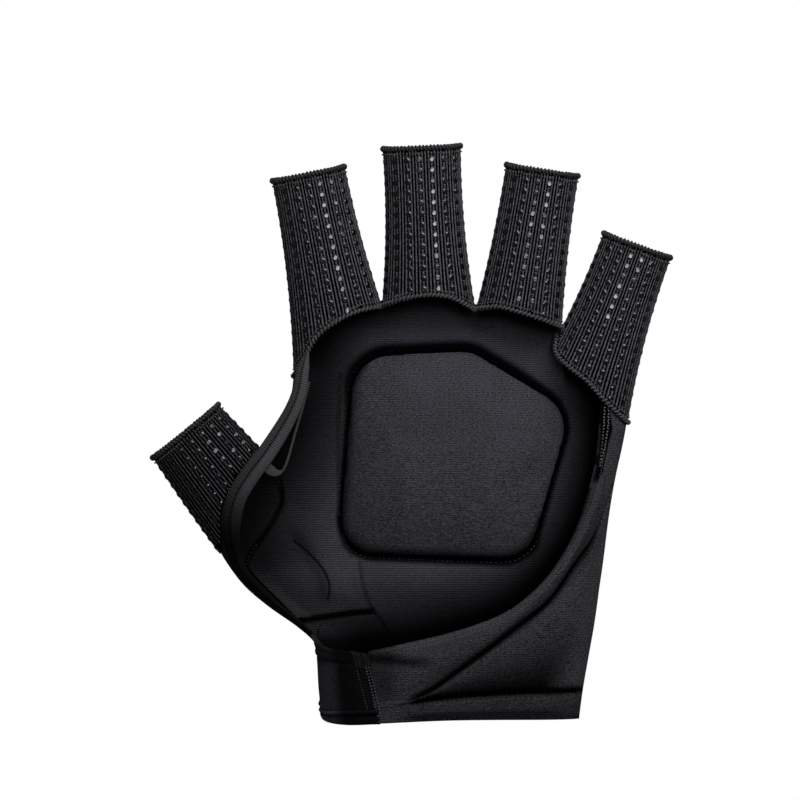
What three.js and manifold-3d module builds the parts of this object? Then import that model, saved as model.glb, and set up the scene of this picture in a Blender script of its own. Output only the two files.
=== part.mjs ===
// Field hockey glove for the left hand, open palm, lying on its padded back with the palm up.
// Millimetres. +X runs towards the little finger, +Y towards the fingertips and +Z out of the palm.
// The origin is under the middle of the glove, on the surface that it lies on.
import * as THREE from "three";
import { mergeVertices } from "three/addons/utils/BufferGeometryUtils.js";
import Module from "manifold-3d";

// Wall thicknesses
const SHELL_WALL = 6.0; // foam between two jersey skins
const LIP_WALL = 2.6; // the same, thinned to its sewn edge
const TAPER = 9; // how far in from the edge the foam reaches its full thickness
const HEEL_WALL = 2.8;
const GUSSET_WALL = 1.5;
const SLEEVE_WALL = 1.6;
const GAP = 0.4; // left between pieces that are sewn together

// Small forms
const PUFF = 0.7; // how far the heel panel swells between its sewn channels
const CHANNEL_DEPTH = 1.1;
const CHANNEL_SPAN = 0.16; // half the width of a channel, as a share of the distance between two channels
const SLEEVE_SINK = 1.6; // how much of a sleeve's round section its own weight flattens
const SQUARENESS = 2.3; // superellipse power of a sleeve's section
const ROLL_RADIUS = 1.15; // rolled edge of a fingertip opening
const SEAM_RADIUS = 0.9; // overlocked edge at the foot of a sleeve

// A table's rows as objects with named columns.
const table = (columns, ...rows) =>
  rows.map((row) => Object.fromEntries(columns.map((name, i) => [name, row[i]])));

// Sections across the hand, one row for each. left and right are its edges seen from above, height is that of the
// palm side, lip is the height of the padded shell's left edge, and the curls are how far in its two sides turn up.
const HAND = table(
  ["y", "left", "right", "height", "lip", "curlLeft", "curlRight"],
  [-91, -27.2, 51.8, 29.0, 14.5, 15, 16],
  [-80, -28.6, 53.0, 30.0, 15.0, 15, 16],
  [-70, -29.2, 54.7, 30.5, 15.0, 15, 16],
  [-65, -29.9, 55.6, 30.3, 13.5, 12, 16],
  [-60, -35.1, 56.5, 30.0, 11.5, 10, 16],
  [-54, -43.4, 57.4, 29.3, 10.0, 10, 16],
  [-48, -50.6, 58.2, 28.4, 9.0, 12, 16],
  [-42, -55.6, 59.1, 27.4, 8.2, 12, 16],
  [-36, -59.4, 59.9, 26.4, 7.2, 12, 16],
  [-28, -61.8, 60.9, 25.2, 6.4, 12, 15],
  [-20, -61.0, 62.1, 24.1, 6.4, 12, 15],
  [-12, -55.5, 63.5, 23.0, 8.0, 13, 14],
  [-4, -46.8, 65.2, 22.0, 12.0, 14, 14],
  [3, -41.4, 66.7, 21.0, 15.5, 15, 13],
  [10, -37.7, 67.6, 20.0, 16.0, 15, 12],
  [16, -36.6, 68.0, 19.4, 14.5, 15, 12],
  [22, -36.6, 68.0, 18.8, 10.0, 14, 12],
  [32, -37.2, 67.5, 18.0, 7.0, 12, 12],
  [48, -37.5, 66.0, 17.0, 6.5, 12, 12],
);

// Knitted sleeves. tipX, tipY is the middle of the open end and lean the angle from +Y, in degrees. The widths are
// at the tip, 25 and 50 mm down. The feet are how far down the sleeve ends, from its left side to its right.
const SLEEVES = table(
  ["name", "tipX", "tipY", "lean", "width0", "width25", "width50", "footLeft", "footA", "footMid", "footB", "footRight", "tipHeight", "footHeight"],
  ["thumb", -68.8, -0.9, -39.0, 27.0, 30.8, 33.0, 34.2, 24.4, 20.1, 18.0, 16.8, 13.5, 18.0],
  ["index", -31.2, 78.4, -11.0, 22.4, 25.0, 30.8, 57.8, 47.6, 43.8, 42.1, 41.9, 12.5, 18.0],
  ["middle", 3.4, 86.85, -2.35, 24.2, 24.8, 29.6, 46.1, 44.3, 43.5, 44.5, 48.5, 13.0, 18.5],
  ["ring", 40.5, 79.4, 9.4, 22.8, 24.2, 27.6, 43.0, 41.2, 41.9, 43.5, 45.2, 12.5, 18.0],
  ["little", 69.6, 56.0, 19.3, 22.0, 24.0, 30.8, 33.6, 38.9, 42.3, 45.8, 50.2, 12.0, 18.0],
);
const WIDTH_STEP = 25;
const FINGERS = SLEEVES.filter((row) => row.name !== "thumb");

// Lines that cross the heel panel from the little-finger side to the thumb side, in plan
const HEM_LINE = table(["x", "y"], [51.9, -88.3], [14, -88.5], [-9.9, -89.5]);
const LOW_CHANNEL = table(["x", "y"], [53.1, -79.5], [31.4, -80], [7.4, -81.9], [-11.2, -85.2]);
const SLANT_CHANNEL = table(
  ["x", "y"],
  [62.6, -16.6],
  [57.6, -30.8],
  [50.9, -40.4],
  [42.7, -51.7],
  [31.4, -60.9],
  [17.5, -71.3],
  [3.1, -79.8],
  [-12.0, -80.2],
);
const PALM_EDGE = table(
  ["x", "y"],
  [66.4, 1.8],
  [61.6, 4.4],
  [59.6, 0.4],
  [59.0, -6.4],
  [56.0, -19.1],
  [49.9, -33.3],
  [40.1, -46.5],
  [29.6, -55.6],
  [14.0, -61.5],
  [-3.4, -65.2],
  [-13.2, -67.2],
);

// Elastic gusset that closes the wrist on the thumb side: its upper and lower edges from the seam round to the side
const GUSSET_TOP = table(["t", "y"], [0, -67.8], [0.5, -66.8], [1, -66.0]);
const GUSSET_FOOT = table(["t", "y"], [0, -89.7], [0.35, -90.0], [0.7, -89.4], [1, -88.2]);
const GUSSET_HEM = 4.6; // height of the turned hem below the gusset
const GUSSET_HEM_WALL = 2.3;
const CUFF_SEAM = table(["y", "x"], [-92, -10.0], [-66, -14.2]);

// Pads set in pockets of the lining: corners in plan, each with its rounding
const PALM_PAD = table(
  ["x", "y", "radius"],
  [-18.0, 24.3, 13],
  [18.4, 26.2, 12],
  [50.5, 7.0, 12],
  [36.9, -39.8, 12],
  [-23.2, -37.4, 11],
);
const THUMB_PAD = table(
  ["x", "y", "radius"],
  [-24.9, -8.6, 6],
  [-26.6, -39.6, 5],
  [-16.6, -46.0, 4],
  [-13.4, -54.2, 2],
  [-34.8, -57.2, 2],
  [-50.4, -41.0, 3],
  [-38.4, -12.2, 7],
);
const HEEL_PAD = table(
  ["x", "y", "radius"],
  [-12.8, -57.2, 2],
  [-6.6, -65.0, 4],
  [-9.5, -73.0, 3],
  [-21.5, -72.0, 3],
  [-29.6, -60.6, 2],
);
const POCKET_FLOOR = 3.2; // depth of the pockets in the foam of the shell
const PAD_CLEARANCE = 0.6;
// Rings of a pad, from the middle of its underside out and back over its top: size and height as shares
const PALM_RINGS = table(
  ["size", "rise"],
  [1.0, 0],
  [1.0, 0.12],
  [0.99, 0.42],
  [0.95, 0.66],
  [0.86, 0.84],
  [0.6, 0.96],
  [0.3, 1.0],
);
const SMALL_RINGS = table(
  ["size", "rise"],
  [0.5, 0],
  [1.0, 0],
  [0.995, 0.45],
  [0.93, 0.78],
  [0.78, 0.94],
  [0.45, 1.0],
);
const PADS = table(
  ["name", "corners", "rings", "steps", "height", "groove"],
  ["palm_pad", PALM_PAD, PALM_RINGS, 5, 6.2, 1.3],
  ["thumb_pad", THUMB_PAD, SMALL_RINGS, 2, 3.9, 0.8],
  ["heel_pad", HEEL_PAD, SMALL_RINGS, 2, 3.9, 0.8],
);

// Binding round the thumb side of the palm opening: its middle line, its width and how high it stands
const BINDING = table(
  ["x", "y", "z", "width"],
  [-33.6, 19.4, 18.2, 4.0],
  [-34.6, 13.2, 18.6, 4.4],
  [-36.8, 7.2, 18.4, 4.8],
  [-40.6, 0.4, 17.8, 5.4],
  [-45.2, -6.6, 17.4, 5.8],
  [-50.3, -13.4, 17.0, 6.2],
  [-54.2, -20.2, 16.4, 6.2],
  [-55.9, -27.6, 14.8, 6.2],
  [-55.4, -34.6, 12.4, 5.0],
  [-53.4, -41.2, 10.6, 3.6],
  [-49.2, -46.6, 10.8, 3.2],
  [-42.6, -52.4, 11.8, 3.0],
  [-35.2, -57.6, 13.2, 3.0],
  [-30.4, -61.6, 14.8, 2.8],
);
const BINDING_THICK = 2.1;

// Narrow elastic tape that hangs inside the web of the thumb, standing on its edge
const WEB_TAPE = table(
  ["x", "y"],
  [-31.6, 16.0],
  [-32.7, 11.6],
  [-33.9, 7.0],
  [-35.4, 2.0],
  [-36.9, -3.4],
  [-38.4, -8.6],
  [-39.9, -12.2],
  [-42.0, -13.0],
  [-43.6, -12.0],
);
const TAPE_BOTTOM = 12.4;
const TAPE_TALL = 4.2;
const TAPE_THICK = 0.9;

// Facets
const SLEEVE_SIDES = 24;
const SLEEVE_ROWS = 6;
const CORD_SIDES = 6;

const blackJersey = { color: 0x1d1d21, roughness: 0.85, metalness: 0 };
const blackFoam = { color: 0x232327, roughness: 0.8, metalness: 0 };
const blackKnit = { color: 0x17171a, roughness: 0.9, metalness: 0 };
const blackThread = { color: 0x121213, roughness: 0.8, metalness: 0 };
const blackElastic = { color: 0x1a1a1e, roughness: 0.7, metalness: 0 };
const greyTape = { color: 0x4a4d4b, roughness: 0.8, metalness: 0 };

const glove = new THREE.Group();
const wasm = await Module();
wasm.setup();

function addPiece(name, geometry, finish) {
  geometry.computeVertexNormals();
  const mesh = new THREE.Mesh(geometry, new THREE.MeshStandardMaterial(finish));
  mesh.name = name;
  glove.add(mesh);
  return mesh;
}

const mix = (a, b, t) => a + (b - a) * t;
const smoothStep = (t) => {
  const c = Math.min(Math.max(t, 0), 1);
  return c * c * (3 - 2 * c);
};

// A smooth curve through one column of a table, read against another that rises or falls all the way.
function curveOf(rows, from, to) {
  const last = rows.length - 1;
  const rising = rows[last][from] > rows[0][from];
  const slope = (i) => {
    const before = rows[Math.max(i - 1, 0)];
    const after = rows[Math.min(i + 1, last)];
    return (after[to] - before[to]) / (after[from] - before[from]);
  };
  return (at) => {
    let i = 0;
    while (i < last - 1 && (rising ? at > rows[i + 1][from] : at < rows[i + 1][from])) i += 1;
    const step = rows[i + 1][from] - rows[i][from];
    const t = Math.min(Math.max((at - rows[i][from]) / step, 0), 1);
    const bend = new THREE.Vector2(slope(i) * step, slope(i + 1) * step);
    const rise = rows[i + 1][to] - rows[i][to];
    return (
      rows[i][to] + t * t * (3 - 2 * t) * rise + t * (1 - t) * ((1 - t) * bend.x - t * bend.y)
    );
  };
}

// A line given by rows of x and y, as a curve that is read from 0 to 1 along its length.
const lineOf = (rows, height = 0) =>
  new THREE.CatmullRomCurve3(rows.map(({ x, y, z = height }) => new THREE.Vector3(x, y, z)));

// A skin over a grid of points, each four split along their shorter diagonal. Columns join up if round is true.
function skin(columns, rows, round, pointAt) {
  const across = round ? columns : columns + 1;
  const positions = [];
  const faces = [];
  for (let row = 0; row <= rows; row += 1)
    for (let column = 0; column < across; column += 1)
      positions.push(...pointAt(column / columns, row / rows));
  const apart = (a, b) => {
    const steps = [0, 1, 2].map((axis) => positions[3 * a + axis] - positions[3 * b + axis]);
    return Math.hypot(...steps);
  };
  for (let row = 0; row < rows; row += 1)
    for (let column = 0; column < columns; column += 1) {
      const a = row * across + column;
      const b = row * across + ((column + 1) % across);
      const [c, d] = [a + across, b + across];
      if (apart(a, d) < apart(b, c)) faces.push([a, b, d], [a, d, c]);
      else faces.push([a, b, c], [b, d, c]);
    }
  return { positions, faces, across, rows };
}

// A wall between an outer and an inner skin, closed along every free edge. Both are functions of two shares.
function wall({ columns, rows, round = false, outer, inner }) {
  const out = skin(columns, rows, round, outer);
  const into = skin(columns, rows, round, inner);
  const shift = out.positions.length / 3;
  const faces = [...out.faces, ...into.faces.map(([a, b, c]) => [a + shift, c + shift, b + shift])];
  const join = (a, b) => faces.push([a, a + shift, b + shift], [a, b + shift, b]);
  const top = out.across * rows;
  for (let column = 0; column < columns; column += 1) {
    const next = (column + 1) % out.across;
    join(column, next);
    join(top + next, top + column);
  }
  if (!round)
    for (let row = 0; row < rows; row += 1) {
      join((row + 1) * out.across, row * out.across);
      join(row * out.across + columns, (row + 1) * out.across + columns);
    }
  const geometry = new THREE.BufferGeometry();
  geometry.setAttribute("position", new THREE.Float32BufferAttribute([...out.positions, ...into.positions], 3));
  geometry.setIndex(faces.flat());
  return facingOut(geometry);
}

// The geometry with its faces turned to point outwards.
function facingOut(geometry) {
  const index = geometry.index.array;
  const at = geometry.getAttribute("position");
  const [a, b, c] = [0, 1, 2].map(() => new THREE.Vector3());
  let volume = 0;
  for (let i = 0; i < index.length; i += 3) {
    a.fromBufferAttribute(at, index[i]);
    b.fromBufferAttribute(at, index[i + 1]);
    c.fromBufferAttribute(at, index[i + 2]);
    volume += a.dot(b.cross(c));
  }
  if (volume < 0)
    for (let i = 0; i < index.length; i += 3) [index[i + 1], index[i + 2]] = [index[i + 2], index[i + 1]];
  return geometry;
}

// Solids for joining and cutting
function solidOf(geometry) {
  const bare = geometry.clone();
  for (const name of Object.keys(bare.attributes)) if (name !== "position") bare.deleteAttribute(name);
  const merged = mergeVertices(bare, 1e-4);
  return new wasm.Manifold(
    new wasm.Mesh({
      numProp: 3,
      vertProperties: new Float32Array(merged.getAttribute("position").array),
      triVerts: new Uint32Array(merged.index.array),
    }),
  );
}

function geometryOf(solid) {
  const mesh = solid.getMesh();
  const geometry = new THREE.BufferGeometry();
  geometry.setAttribute("position", new THREE.Float32BufferAttribute(mesh.vertProperties, 3));
  geometry.setIndex(new THREE.BufferAttribute(mesh.triVerts, 1));
  return geometry;
}

// A cord of elliptic section along a curve, with closed ends. reach(t) gives its half width and half thickness.
function cord(curve, steps, reach) {
  const sides = CORD_SIDES;
  const positions = [];
  const faces = [];
  for (let step = 0; step <= steps; step += 1) {
    const t = step / steps;
    const tangent = curve.getTangentAt(t);
    const across = new THREE.Vector3(tangent.y, -tangent.x, 0).normalize();
    const up = new THREE.Vector3().crossVectors(across, tangent);
    const [half, thick] = reach(t);
    for (let side = 0; side < sides; side += 1) {
      const angle = (side / sides) * 2 * Math.PI;
      const point = curve.getPointAt(t).addScaledVector(across, half * Math.cos(angle));
      positions.push(...point.addScaledVector(up, thick * Math.sin(angle)));
    }
  }
  for (let step = 0; step < steps; step += 1)
    for (let side = 0; side < sides; side += 1) {
      const a = step * sides + side;
      const b = step * sides + ((side + 1) % sides);
      faces.push([a, b, b + sides], [a, b + sides, a + sides]);
    }
  for (let side = 2; side < sides; side += 1) {
    faces.push([0, side, side - 1]);
    faces.push([steps * sides, steps * sides + side - 1, steps * sides + side]);
  }
  const geometry = new THREE.BufferGeometry();
  geometry.setAttribute("position", new THREE.Float32BufferAttribute(positions, 3));
  geometry.setIndex(faces.flat());
  return facingOut(geometry);
}

// The hand's section at y is a flattened ring in six quarters, q from 0 to 6: up the left side from the lip down (0
// to 1), the floor (1 to 2), the right side (2 to 3) and its return over the palm (3 to 4), the palm side (4 to 5) and
// the left return (5 to 6). inset is how far inside the outer skin the point lies.
const handColumn = Object.fromEntries(
  Object.keys(HAND[0]).map((name) => [name, curveOf(HAND, "y", name)]),
);
const handAt = (y) => Object.fromEntries(Object.entries(handColumn).map(([name, read]) => [name, read(y)]));

function handPoint(q, y, inset) {
  const { left, right, height, lip, curlLeft, curlRight } = handAt(y);
  const [innerLeft, innerRight] = [left + curlLeft, right - curlRight];
  const side = height / 2;
  const part = Math.min(Math.floor(q), 5);
  const turn = (q - part) * (Math.PI / 2);
  const [sin, cos] = [Math.sin(turn), Math.cos(turn)];
  if (part === 0) return [innerLeft - (curlLeft - inset) * cos, y, lip - (lip - inset) * sin];
  if (part === 1) return [mix(innerLeft, innerRight, q - 1), y, inset];
  if (part === 2) return [innerRight + (curlRight - inset) * sin, y, side - (side - inset) * cos];
  if (part === 3) return [innerRight + (curlRight - inset) * cos, y, side + (side - inset) * sin];
  if (part === 4) return [mix(innerRight, innerLeft, q - 4), y, height - inset];
  return [innerLeft - (curlLeft - inset) * sin, y, lip + (height - inset - lip) * cos];
}

// The quarter value of a point on the palm side, from its place in plan.
function palmQuarter(x, y) {
  const { left, right, curlLeft, curlRight } = handAt(y);
  const [innerLeft, innerRight] = [left + curlLeft, right - curlRight];
  if (x > innerRight) return 3 + Math.acos(Math.min((x - innerRight) / curlRight, 1)) / (Math.PI / 2);
  if (x > innerLeft) return 4 + (innerRight - x) / (innerRight - innerLeft);
  return 5 + Math.asin(Math.min((innerLeft - x) / curlLeft, 1)) / (Math.PI / 2);
}

// Sleeves
function sleeveFrame(row) {
  const lean = THREE.MathUtils.degToRad(row.lean);
  const feet = table(
    ["s", "down"],
    [-1, row.footLeft],
    [-0.5, row.footA],
    [0, row.footMid],
    [0.5, row.footB],
    [1, row.footRight],
  );
  const bend = row.width50 - 2 * row.width25 + row.width0;
  const footAt = curveOf(feet, "s", "down");
  const width = (down) => {
    const steps = down / WIDTH_STEP;
    return row.width0 + steps * (row.width25 - row.width0 - bend / 2) + (steps * steps * bend) / 2;
  };
  return {
    width,
    // How far down the foot is at s, or a line that runs at a distance past it, measured square to the foot.
    footAt: (s, past = 0) => {
      const slope = (footAt(s + 0.02) - footAt(s - 0.02)) / (0.02 * width(footAt(s)));
      return footAt(s) + past * Math.hypot(1, slope);
    },
    height: (down) => mix(row.tipHeight, row.footHeight, down / (2 * WIDTH_STEP)),
    place: (down, aside, z) => [
      row.tipX - Math.sin(lean) * down + Math.cos(lean) * aside,
      row.tipY - Math.cos(lean) * down - Math.sin(lean) * aside,
      z,
    ],
  };
}

// A round section's two coordinates at an angle, from -1 to 1: across, and up.
function roundSection(angle) {
  const power = 2 / SQUARENESS;
  const bulge = (value) => Math.sign(value) * Math.abs(value) ** power;
  return [bulge(Math.cos(angle)), bulge(Math.sin(angle))];
}

function sleevePoint(frame, angle, share, inset, past = 0) {
  const [across, up] = roundSection(angle);
  const down = share * frame.footAt(across, past);
  const halfHeight = (frame.height(down) + SLEEVE_SINK) / 2;
  const middle = frame.height(down) - halfHeight;
  const z = Math.max(middle + up * (halfHeight - inset), inset);
  return frame.place(down, across * (frame.width(down) / 2 - inset), z);
}

// A sleeve's wall, grown on every side by a margin
function sleeveWall(row, margin) {
  const frame = sleeveFrame(row);
  const at = (inset) => (u, v) => sleevePoint(frame, u * 2 * Math.PI, v, inset, margin);
  return wall({
    columns: SLEEVE_SIDES,
    rows: SLEEVE_ROWS,
    round: true,
    outer: at(-margin),
    inner: at(SLEEVE_WALL + margin),
  });
}

function makeTipRoll(row) {
  const frame = sleeveFrame(row);
  const half = row.width0 / 2 - 0.3;
  const low = ROLL_RADIUS;
  const high = row.tipHeight - 0.7;
  const points = [];
  for (let i = 0; i < SLEEVE_SIDES; i += 1) {
    const [across, up] = roundSection((i / SLEEVE_SIDES) * 2 * Math.PI);
    const z = mix(low, high, (up + 1) / 2);
    points.push(new THREE.Vector3(...frame.place(-(ROLL_RADIUS + GAP), across * half, z)));
  }
  const ring = new THREE.CatmullRomCurve3(points, true);
  const tube = new THREE.TubeGeometry(ring, SLEEVE_SIDES, ROLL_RADIUS, CORD_SIDES, true);
  addPiece(row.name + "_tip_roll", tube, blackThread);
}

function makeFootSeam(row) {
  const frame = sleeveFrame(row);
  const points = [];
  const steps = 12;
  const clear = 0.16; // stops short of both sides, where the next sleeve's seam begins
  for (let i = 0; i <= steps; i += 1) {
    const angle = Math.PI * mix(1 - clear, clear, i / steps);
    points.push(new THREE.Vector3(...sleevePoint(frame, angle, 1, SLEEVE_WALL / 2, SEAM_RADIUS + GAP)));
  }
  const run = new THREE.CatmullRomCurve3(points);
  addPiece(row.name + "_foot_seam", cord(run, 14, () => [SEAM_RADIUS, SEAM_RADIUS]), blackThread);
}

// Feet of the sleeves in plan, moved towards the palm by the gap, from the little finger to the index finger
function footLine(row, past) {
  const frame = sleeveFrame(row);
  const points = [];
  const steps = 10;
  for (let i = 0; i <= steps; i += 1) {
    const s = mix(1, -1, i / steps);
    const down = frame.footAt(s, past);
    points.push(frame.place(down, (s * frame.width(down)) / 2, 0));
  }
  return points;
}
const knuckleLine = [...FINGERS].reverse().flatMap((row) => footLine(row, GAP + 0.2));
const knuckleY = curveOf(
  knuckleLine
    .filter(([x], i) => i === 0 || x < Math.min(...knuckleLine.slice(0, i).map(([before]) => before)) - 0.4)
    .map(([x, y]) => ({ x, y })),
  "x",
  "y",
);

// Padded shell of the hand's back. Its rows run from the hem to the knuckles and follow both.
const SHELL_COLUMNS = 27;
const SHELL_ROWS = [-88.4, -80, -73, -68.5, -65, -61.5, -57.5, -53, -47, -40, -33, -26, -19, -12, -5, 1, 7, 13, 19.4];
// Columns lie closer together on the two curls than on the floor.
const shellQuarter = (u) => Math.min(Math.max(3 * (u + 0.045 * Math.sin(6 * Math.PI * u)), 0), 3);
const shellTop = (q) => knuckleY(handPoint(q, 30, 0)[0]) + 1;

function shellWall(q, y) {
  const fromLip = smoothStep(q / 0.85) * smoothStep((3 - q) / 0.85);
  const fromKnuckles = smoothStep((shellTop(q) - y) / TAPER);
  const fromHem = smoothStep((y - SHELL_ROWS[0]) / TAPER);
  return mix(LIP_WALL, SHELL_WALL, fromLip * fromKnuckles * fromHem);
}

const shellSkin = (insetAt) => (u, v) => {
  const q = shellQuarter(u);
  const last = SHELL_ROWS.length - 1;
  const share = (SHELL_ROWS[Math.round(v * last)] - SHELL_ROWS[0]) / (SHELL_ROWS[last] - SHELL_ROWS[0]);
  const y = mix(SHELL_ROWS[0], shellTop(q), share);
  return handPoint(q, y, insetAt(q, y));
};

// A block that stands on a region of the plan.
function standing(points, bottom, top) {
  const shape = new THREE.Shape(points.map(([x, y]) => new THREE.Vector2(x, y)));
  const block = new THREE.ExtrudeGeometry(shape, { depth: top - bottom, bevelEnabled: false });
  return block.translate(0, 0, bottom);
}

// A polygon with each corner rounded by an arc of its own radius.
function roundedOutline(corners, steps) {
  const count = corners.length;
  return corners.flatMap((corner, i) => {
    const at = new THREE.Vector2(corner.x, corner.y);
    const before = corners[(i + count - 1) % count];
    const after = corners[(i + 1) % count];
    const back = new THREE.Vector2(before.x, before.y).sub(at).normalize();
    const ahead = new THREE.Vector2(after.x, after.y).sub(at).normalize();
    const half = Math.acos(back.dot(ahead)) / 2;
    const reach = corner.radius / Math.tan(half);
    const middle = back
      .clone()
      .add(ahead)
      .normalize()
      .multiplyScalar(corner.radius / Math.sin(half))
      .add(at);
    const start = at.clone().addScaledVector(back, reach).sub(middle);
    const end = at.clone().addScaledVector(ahead, reach).sub(middle);
    const sweep = Math.atan2(start.cross(end), start.dot(end));
    return Array.from({ length: steps + 1 }, (_, k) =>
      start.clone().rotateAround(new THREE.Vector2(), (sweep * k) / steps).add(middle),
    );
  });
}

// Height of the shell's underside in plan, raised into the shell by an inset
function shellHeight(x, y, inset) {
  const { left, lip, curlLeft } = handAt(y);
  const reach = Math.min(Math.max((left + curlLeft - x) / (curlLeft - inset), 0), 1);
  return lip - (lip - inset) * Math.sqrt(1 - reach * reach);
}

// A cushion made of rings: a pad's outline moved outwards by a margin, shrunk to a size and raised by a lift
function cushion(pad, rings, depth) {
  const plain = padOutline(pad, 0);
  const middle = plain
    .reduce((sum, point) => sum.add(point), new THREE.Vector2())
    .divideScalar(plain.length);
  const count = plain.length;
  const positions = [];
  const faces = [];
  const place = (x, y, lift) => positions.push(x, y, shellHeight(x, y, depth) + lift);
  for (const { size, lift, margin } of rings)
    for (const point of padOutline(pad, margin)) {
      const at = point.sub(middle).multiplyScalar(size).add(middle);
      place(at.x, at.y, lift);
    }
  const under = positions.length / 3;
  place(middle.x, middle.y, rings[0].lift);
  place(middle.x, middle.y, rings[rings.length - 1].lift);
  for (let i = 0; i < count; i += 1) {
    const next = (i + 1) % count;
    for (let ring = 0; ring < rings.length - 1; ring += 1) {
      const [a, b] = [ring * count + i, ring * count + next];
      faces.push([a, b, b + count], [a, b + count, a + count]);
    }
    const rim = (rings.length - 1) * count;
    faces.push([under, next, i], [under + 1, rim + i, rim + next]);
  }
  const geometry = new THREE.BufferGeometry();
  geometry.setAttribute("position", new THREE.Float32BufferAttribute(positions, 3));
  geometry.setIndex(faces.flat());
  return facingOut(geometry);
}

// A pad's outline, which runs clockwise, moved outwards by a margin
function padOutline({ corners, steps }, margin) {
  const outline = roundedOutline(corners, steps);
  const count = outline.length;
  return outline.map((point, i) => {
    const along = outline[(i + 1) % count].clone().sub(outline[(i + count - 1) % count]).normalize();
    return point.clone().add(new THREE.Vector2(-along.y, along.x).multiplyScalar(margin));
  });
}

// What is cut from the shell for a pad: its outline with the groove round it, down to the pocket's floor
function pocket(pad) {
  const floor = pad.rings.filter(({ rise }) => rise === 0).map(({ size }) => ({ size, lift: 0, margin: 0 }));
  const walls = [0, 30].map((lift) => ({ size: 1, lift, margin: pad.groove }));
  return cushion(pad, [...floor, ...walls], POCKET_FLOOR);
}

function makePad(pad) {
  const rings = pad.rings.map(({ size, rise }) => ({ size, lift: rise * pad.height, margin: 0 }));
  addPiece(pad.name, cushion(pad, rings, POCKET_FLOOR + PAD_CLEARANCE), blackJersey);
}

function makeShell() {
  const whole = wall({
    columns: SHELL_COLUMNS,
    rows: SHELL_ROWS.length - 1,
    outer: shellSkin(() => 0),
    inner: shellSkin(shellWall),
  });
  const far = 90;
  const thumb = footLine(SLEEVES[0], GAP + 0.2);
  const [thumbTop, thumbFoot] = [thumb[0], thumb[thumb.length - 1]];
  const indexCorner = knuckleLine[knuckleLine.length - 1];
  const region = [
    [far, knuckleLine[0][1]],
    ...knuckleLine,
    [-far, indexCorner[1]],
    [-far, thumbTop[1] + 1],
    [thumbTop[0] + 0.5, thumbTop[1] + 1],
    ...thumb,
    [-far, thumbFoot[1] - 1],
    [-far, -far - 5],
    [far, -far - 5],
  ];
  let shell = solidOf(whole).intersect(solidOf(standing(region, -1, 40)));
  for (const pad of PADS) shell = shell.subtract(solidOf(pocket(pad)));
  for (const row of SLEEVES) shell = shell.subtract(solidOf(sleeveWall(row, GAP)));
  addPiece("back_shell", geometryOf(shell), blackFoam);
}

// Heel panel: from the seam on the little-finger side over the palm side to the cuff seam, between the hem and the
// edge of the palm opening. v runs from 0 at the hem through both channels to 3 at the edge.
const heelLines = [HEM_LINE, LOW_CHANNEL, SLANT_CHANNEL, PALM_EDGE].map((rows) => lineOf(rows));
const HEEL_ROWS = [0, 0.5, 0.84, 1, 1.16, 1.5, 1.84, 2, 2.16, 2.6, 3];
const SEAM_TURN = 0.03; // keeps the panel's edge off the shell's

function heelPlace(u, v) {
  const part = Math.min(Math.floor(v), 2);
  const [low, high] = [heelLines[part], heelLines[part + 1]].map((line) => line.getPointAt(u));
  const { x, y } = low.lerp(high, v - part);
  return [Math.max(palmQuarter(x, y), 3 + SEAM_TURN), y];
}

function heelRelief(u, v) {
  const fadeLeft = 1 - smoothStep((u - 0.72) / 0.2);
  const fadeSlant = smoothStep(u / 0.12);
  const fadeSide = smoothStep((u - 0.05) / 0.2);
  const near = (line) => Math.exp(-(((v - line) / CHANNEL_SPAN) ** 2));
  const groove = Math.max(near(1) * fadeLeft, near(2) * fadeLeft * fadeSlant);
  const edge = smoothStep(v / 0.5) * smoothStep((3 - v) / 0.4);
  return mix(-PUFF * edge * fadeLeft * fadeSide, CHANNEL_DEPTH, groove);
}

function makeHeelPanel() {
  const last = HEEL_ROWS.length - 1;
  const at = (insetAt) => (u, v) => {
    const level = HEEL_ROWS[Math.round(v * last)];
    const [q, y] = heelPlace(u, level);
    return handPoint(q, y, insetAt(u, level));
  };
  const panel = wall({
    columns: 26,
    rows: last,
    outer: at(heelRelief),
    inner: at(() => HEEL_WALL),
  });
  addPiece("heel_panel", panel, blackFoam);
}

// Elastic gusset and its turned hem
const seamX = curveOf(CUFF_SEAM, "y", "x");
function gussetPiece(name, topAt, footAt, thick, finish) {
  const at = (inset) => (u, v) => {
    const y = mix(footAt(u), topAt(u), v);
    const q = mix(palmQuarter(seamX(y) - GAP, y), 6 - SEAM_TURN * 1.5, u);
    return handPoint(q, y, inset);
  };
  addPiece(name, wall({ columns: 14, rows: 3, outer: at(0), inner: at(thick) }), finish);
}

function makeGusset() {
  const topAt = curveOf(GUSSET_TOP, "t", "y");
  const footAt = curveOf(GUSSET_FOOT, "t", "y");
  const fold = (t) => footAt(t) + GUSSET_HEM;
  gussetPiece("wrist_gusset", topAt, (t) => fold(t) + GAP, GUSSET_WALL, blackElastic);
  gussetPiece("gusset_hem", fold, footAt, GUSSET_HEM_WALL, blackElastic);
}

function makeBinding() {
  const run = lineOf(BINDING);
  const spread = curveOf(
    BINDING.map(({ width }, i) => ({ t: i / (BINDING.length - 1), width })),
    "t",
    "width",
  );
  addPiece("web_binding", cord(run, 30, (t) => [spread(t) / 2, BINDING_THICK / 2]), blackElastic);
}

function makeTape() {
  const run = lineOf(WEB_TAPE, TAPE_BOTTOM);
  const tape = wall({
    columns: 18,
    rows: 1,
    outer: (u, v) => tapePoint(run, u, v, 0.5),
    inner: (u, v) => tapePoint(run, u, v, -0.5),
  });
  addPiece("web_tape", tape, greyTape);
}

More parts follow.
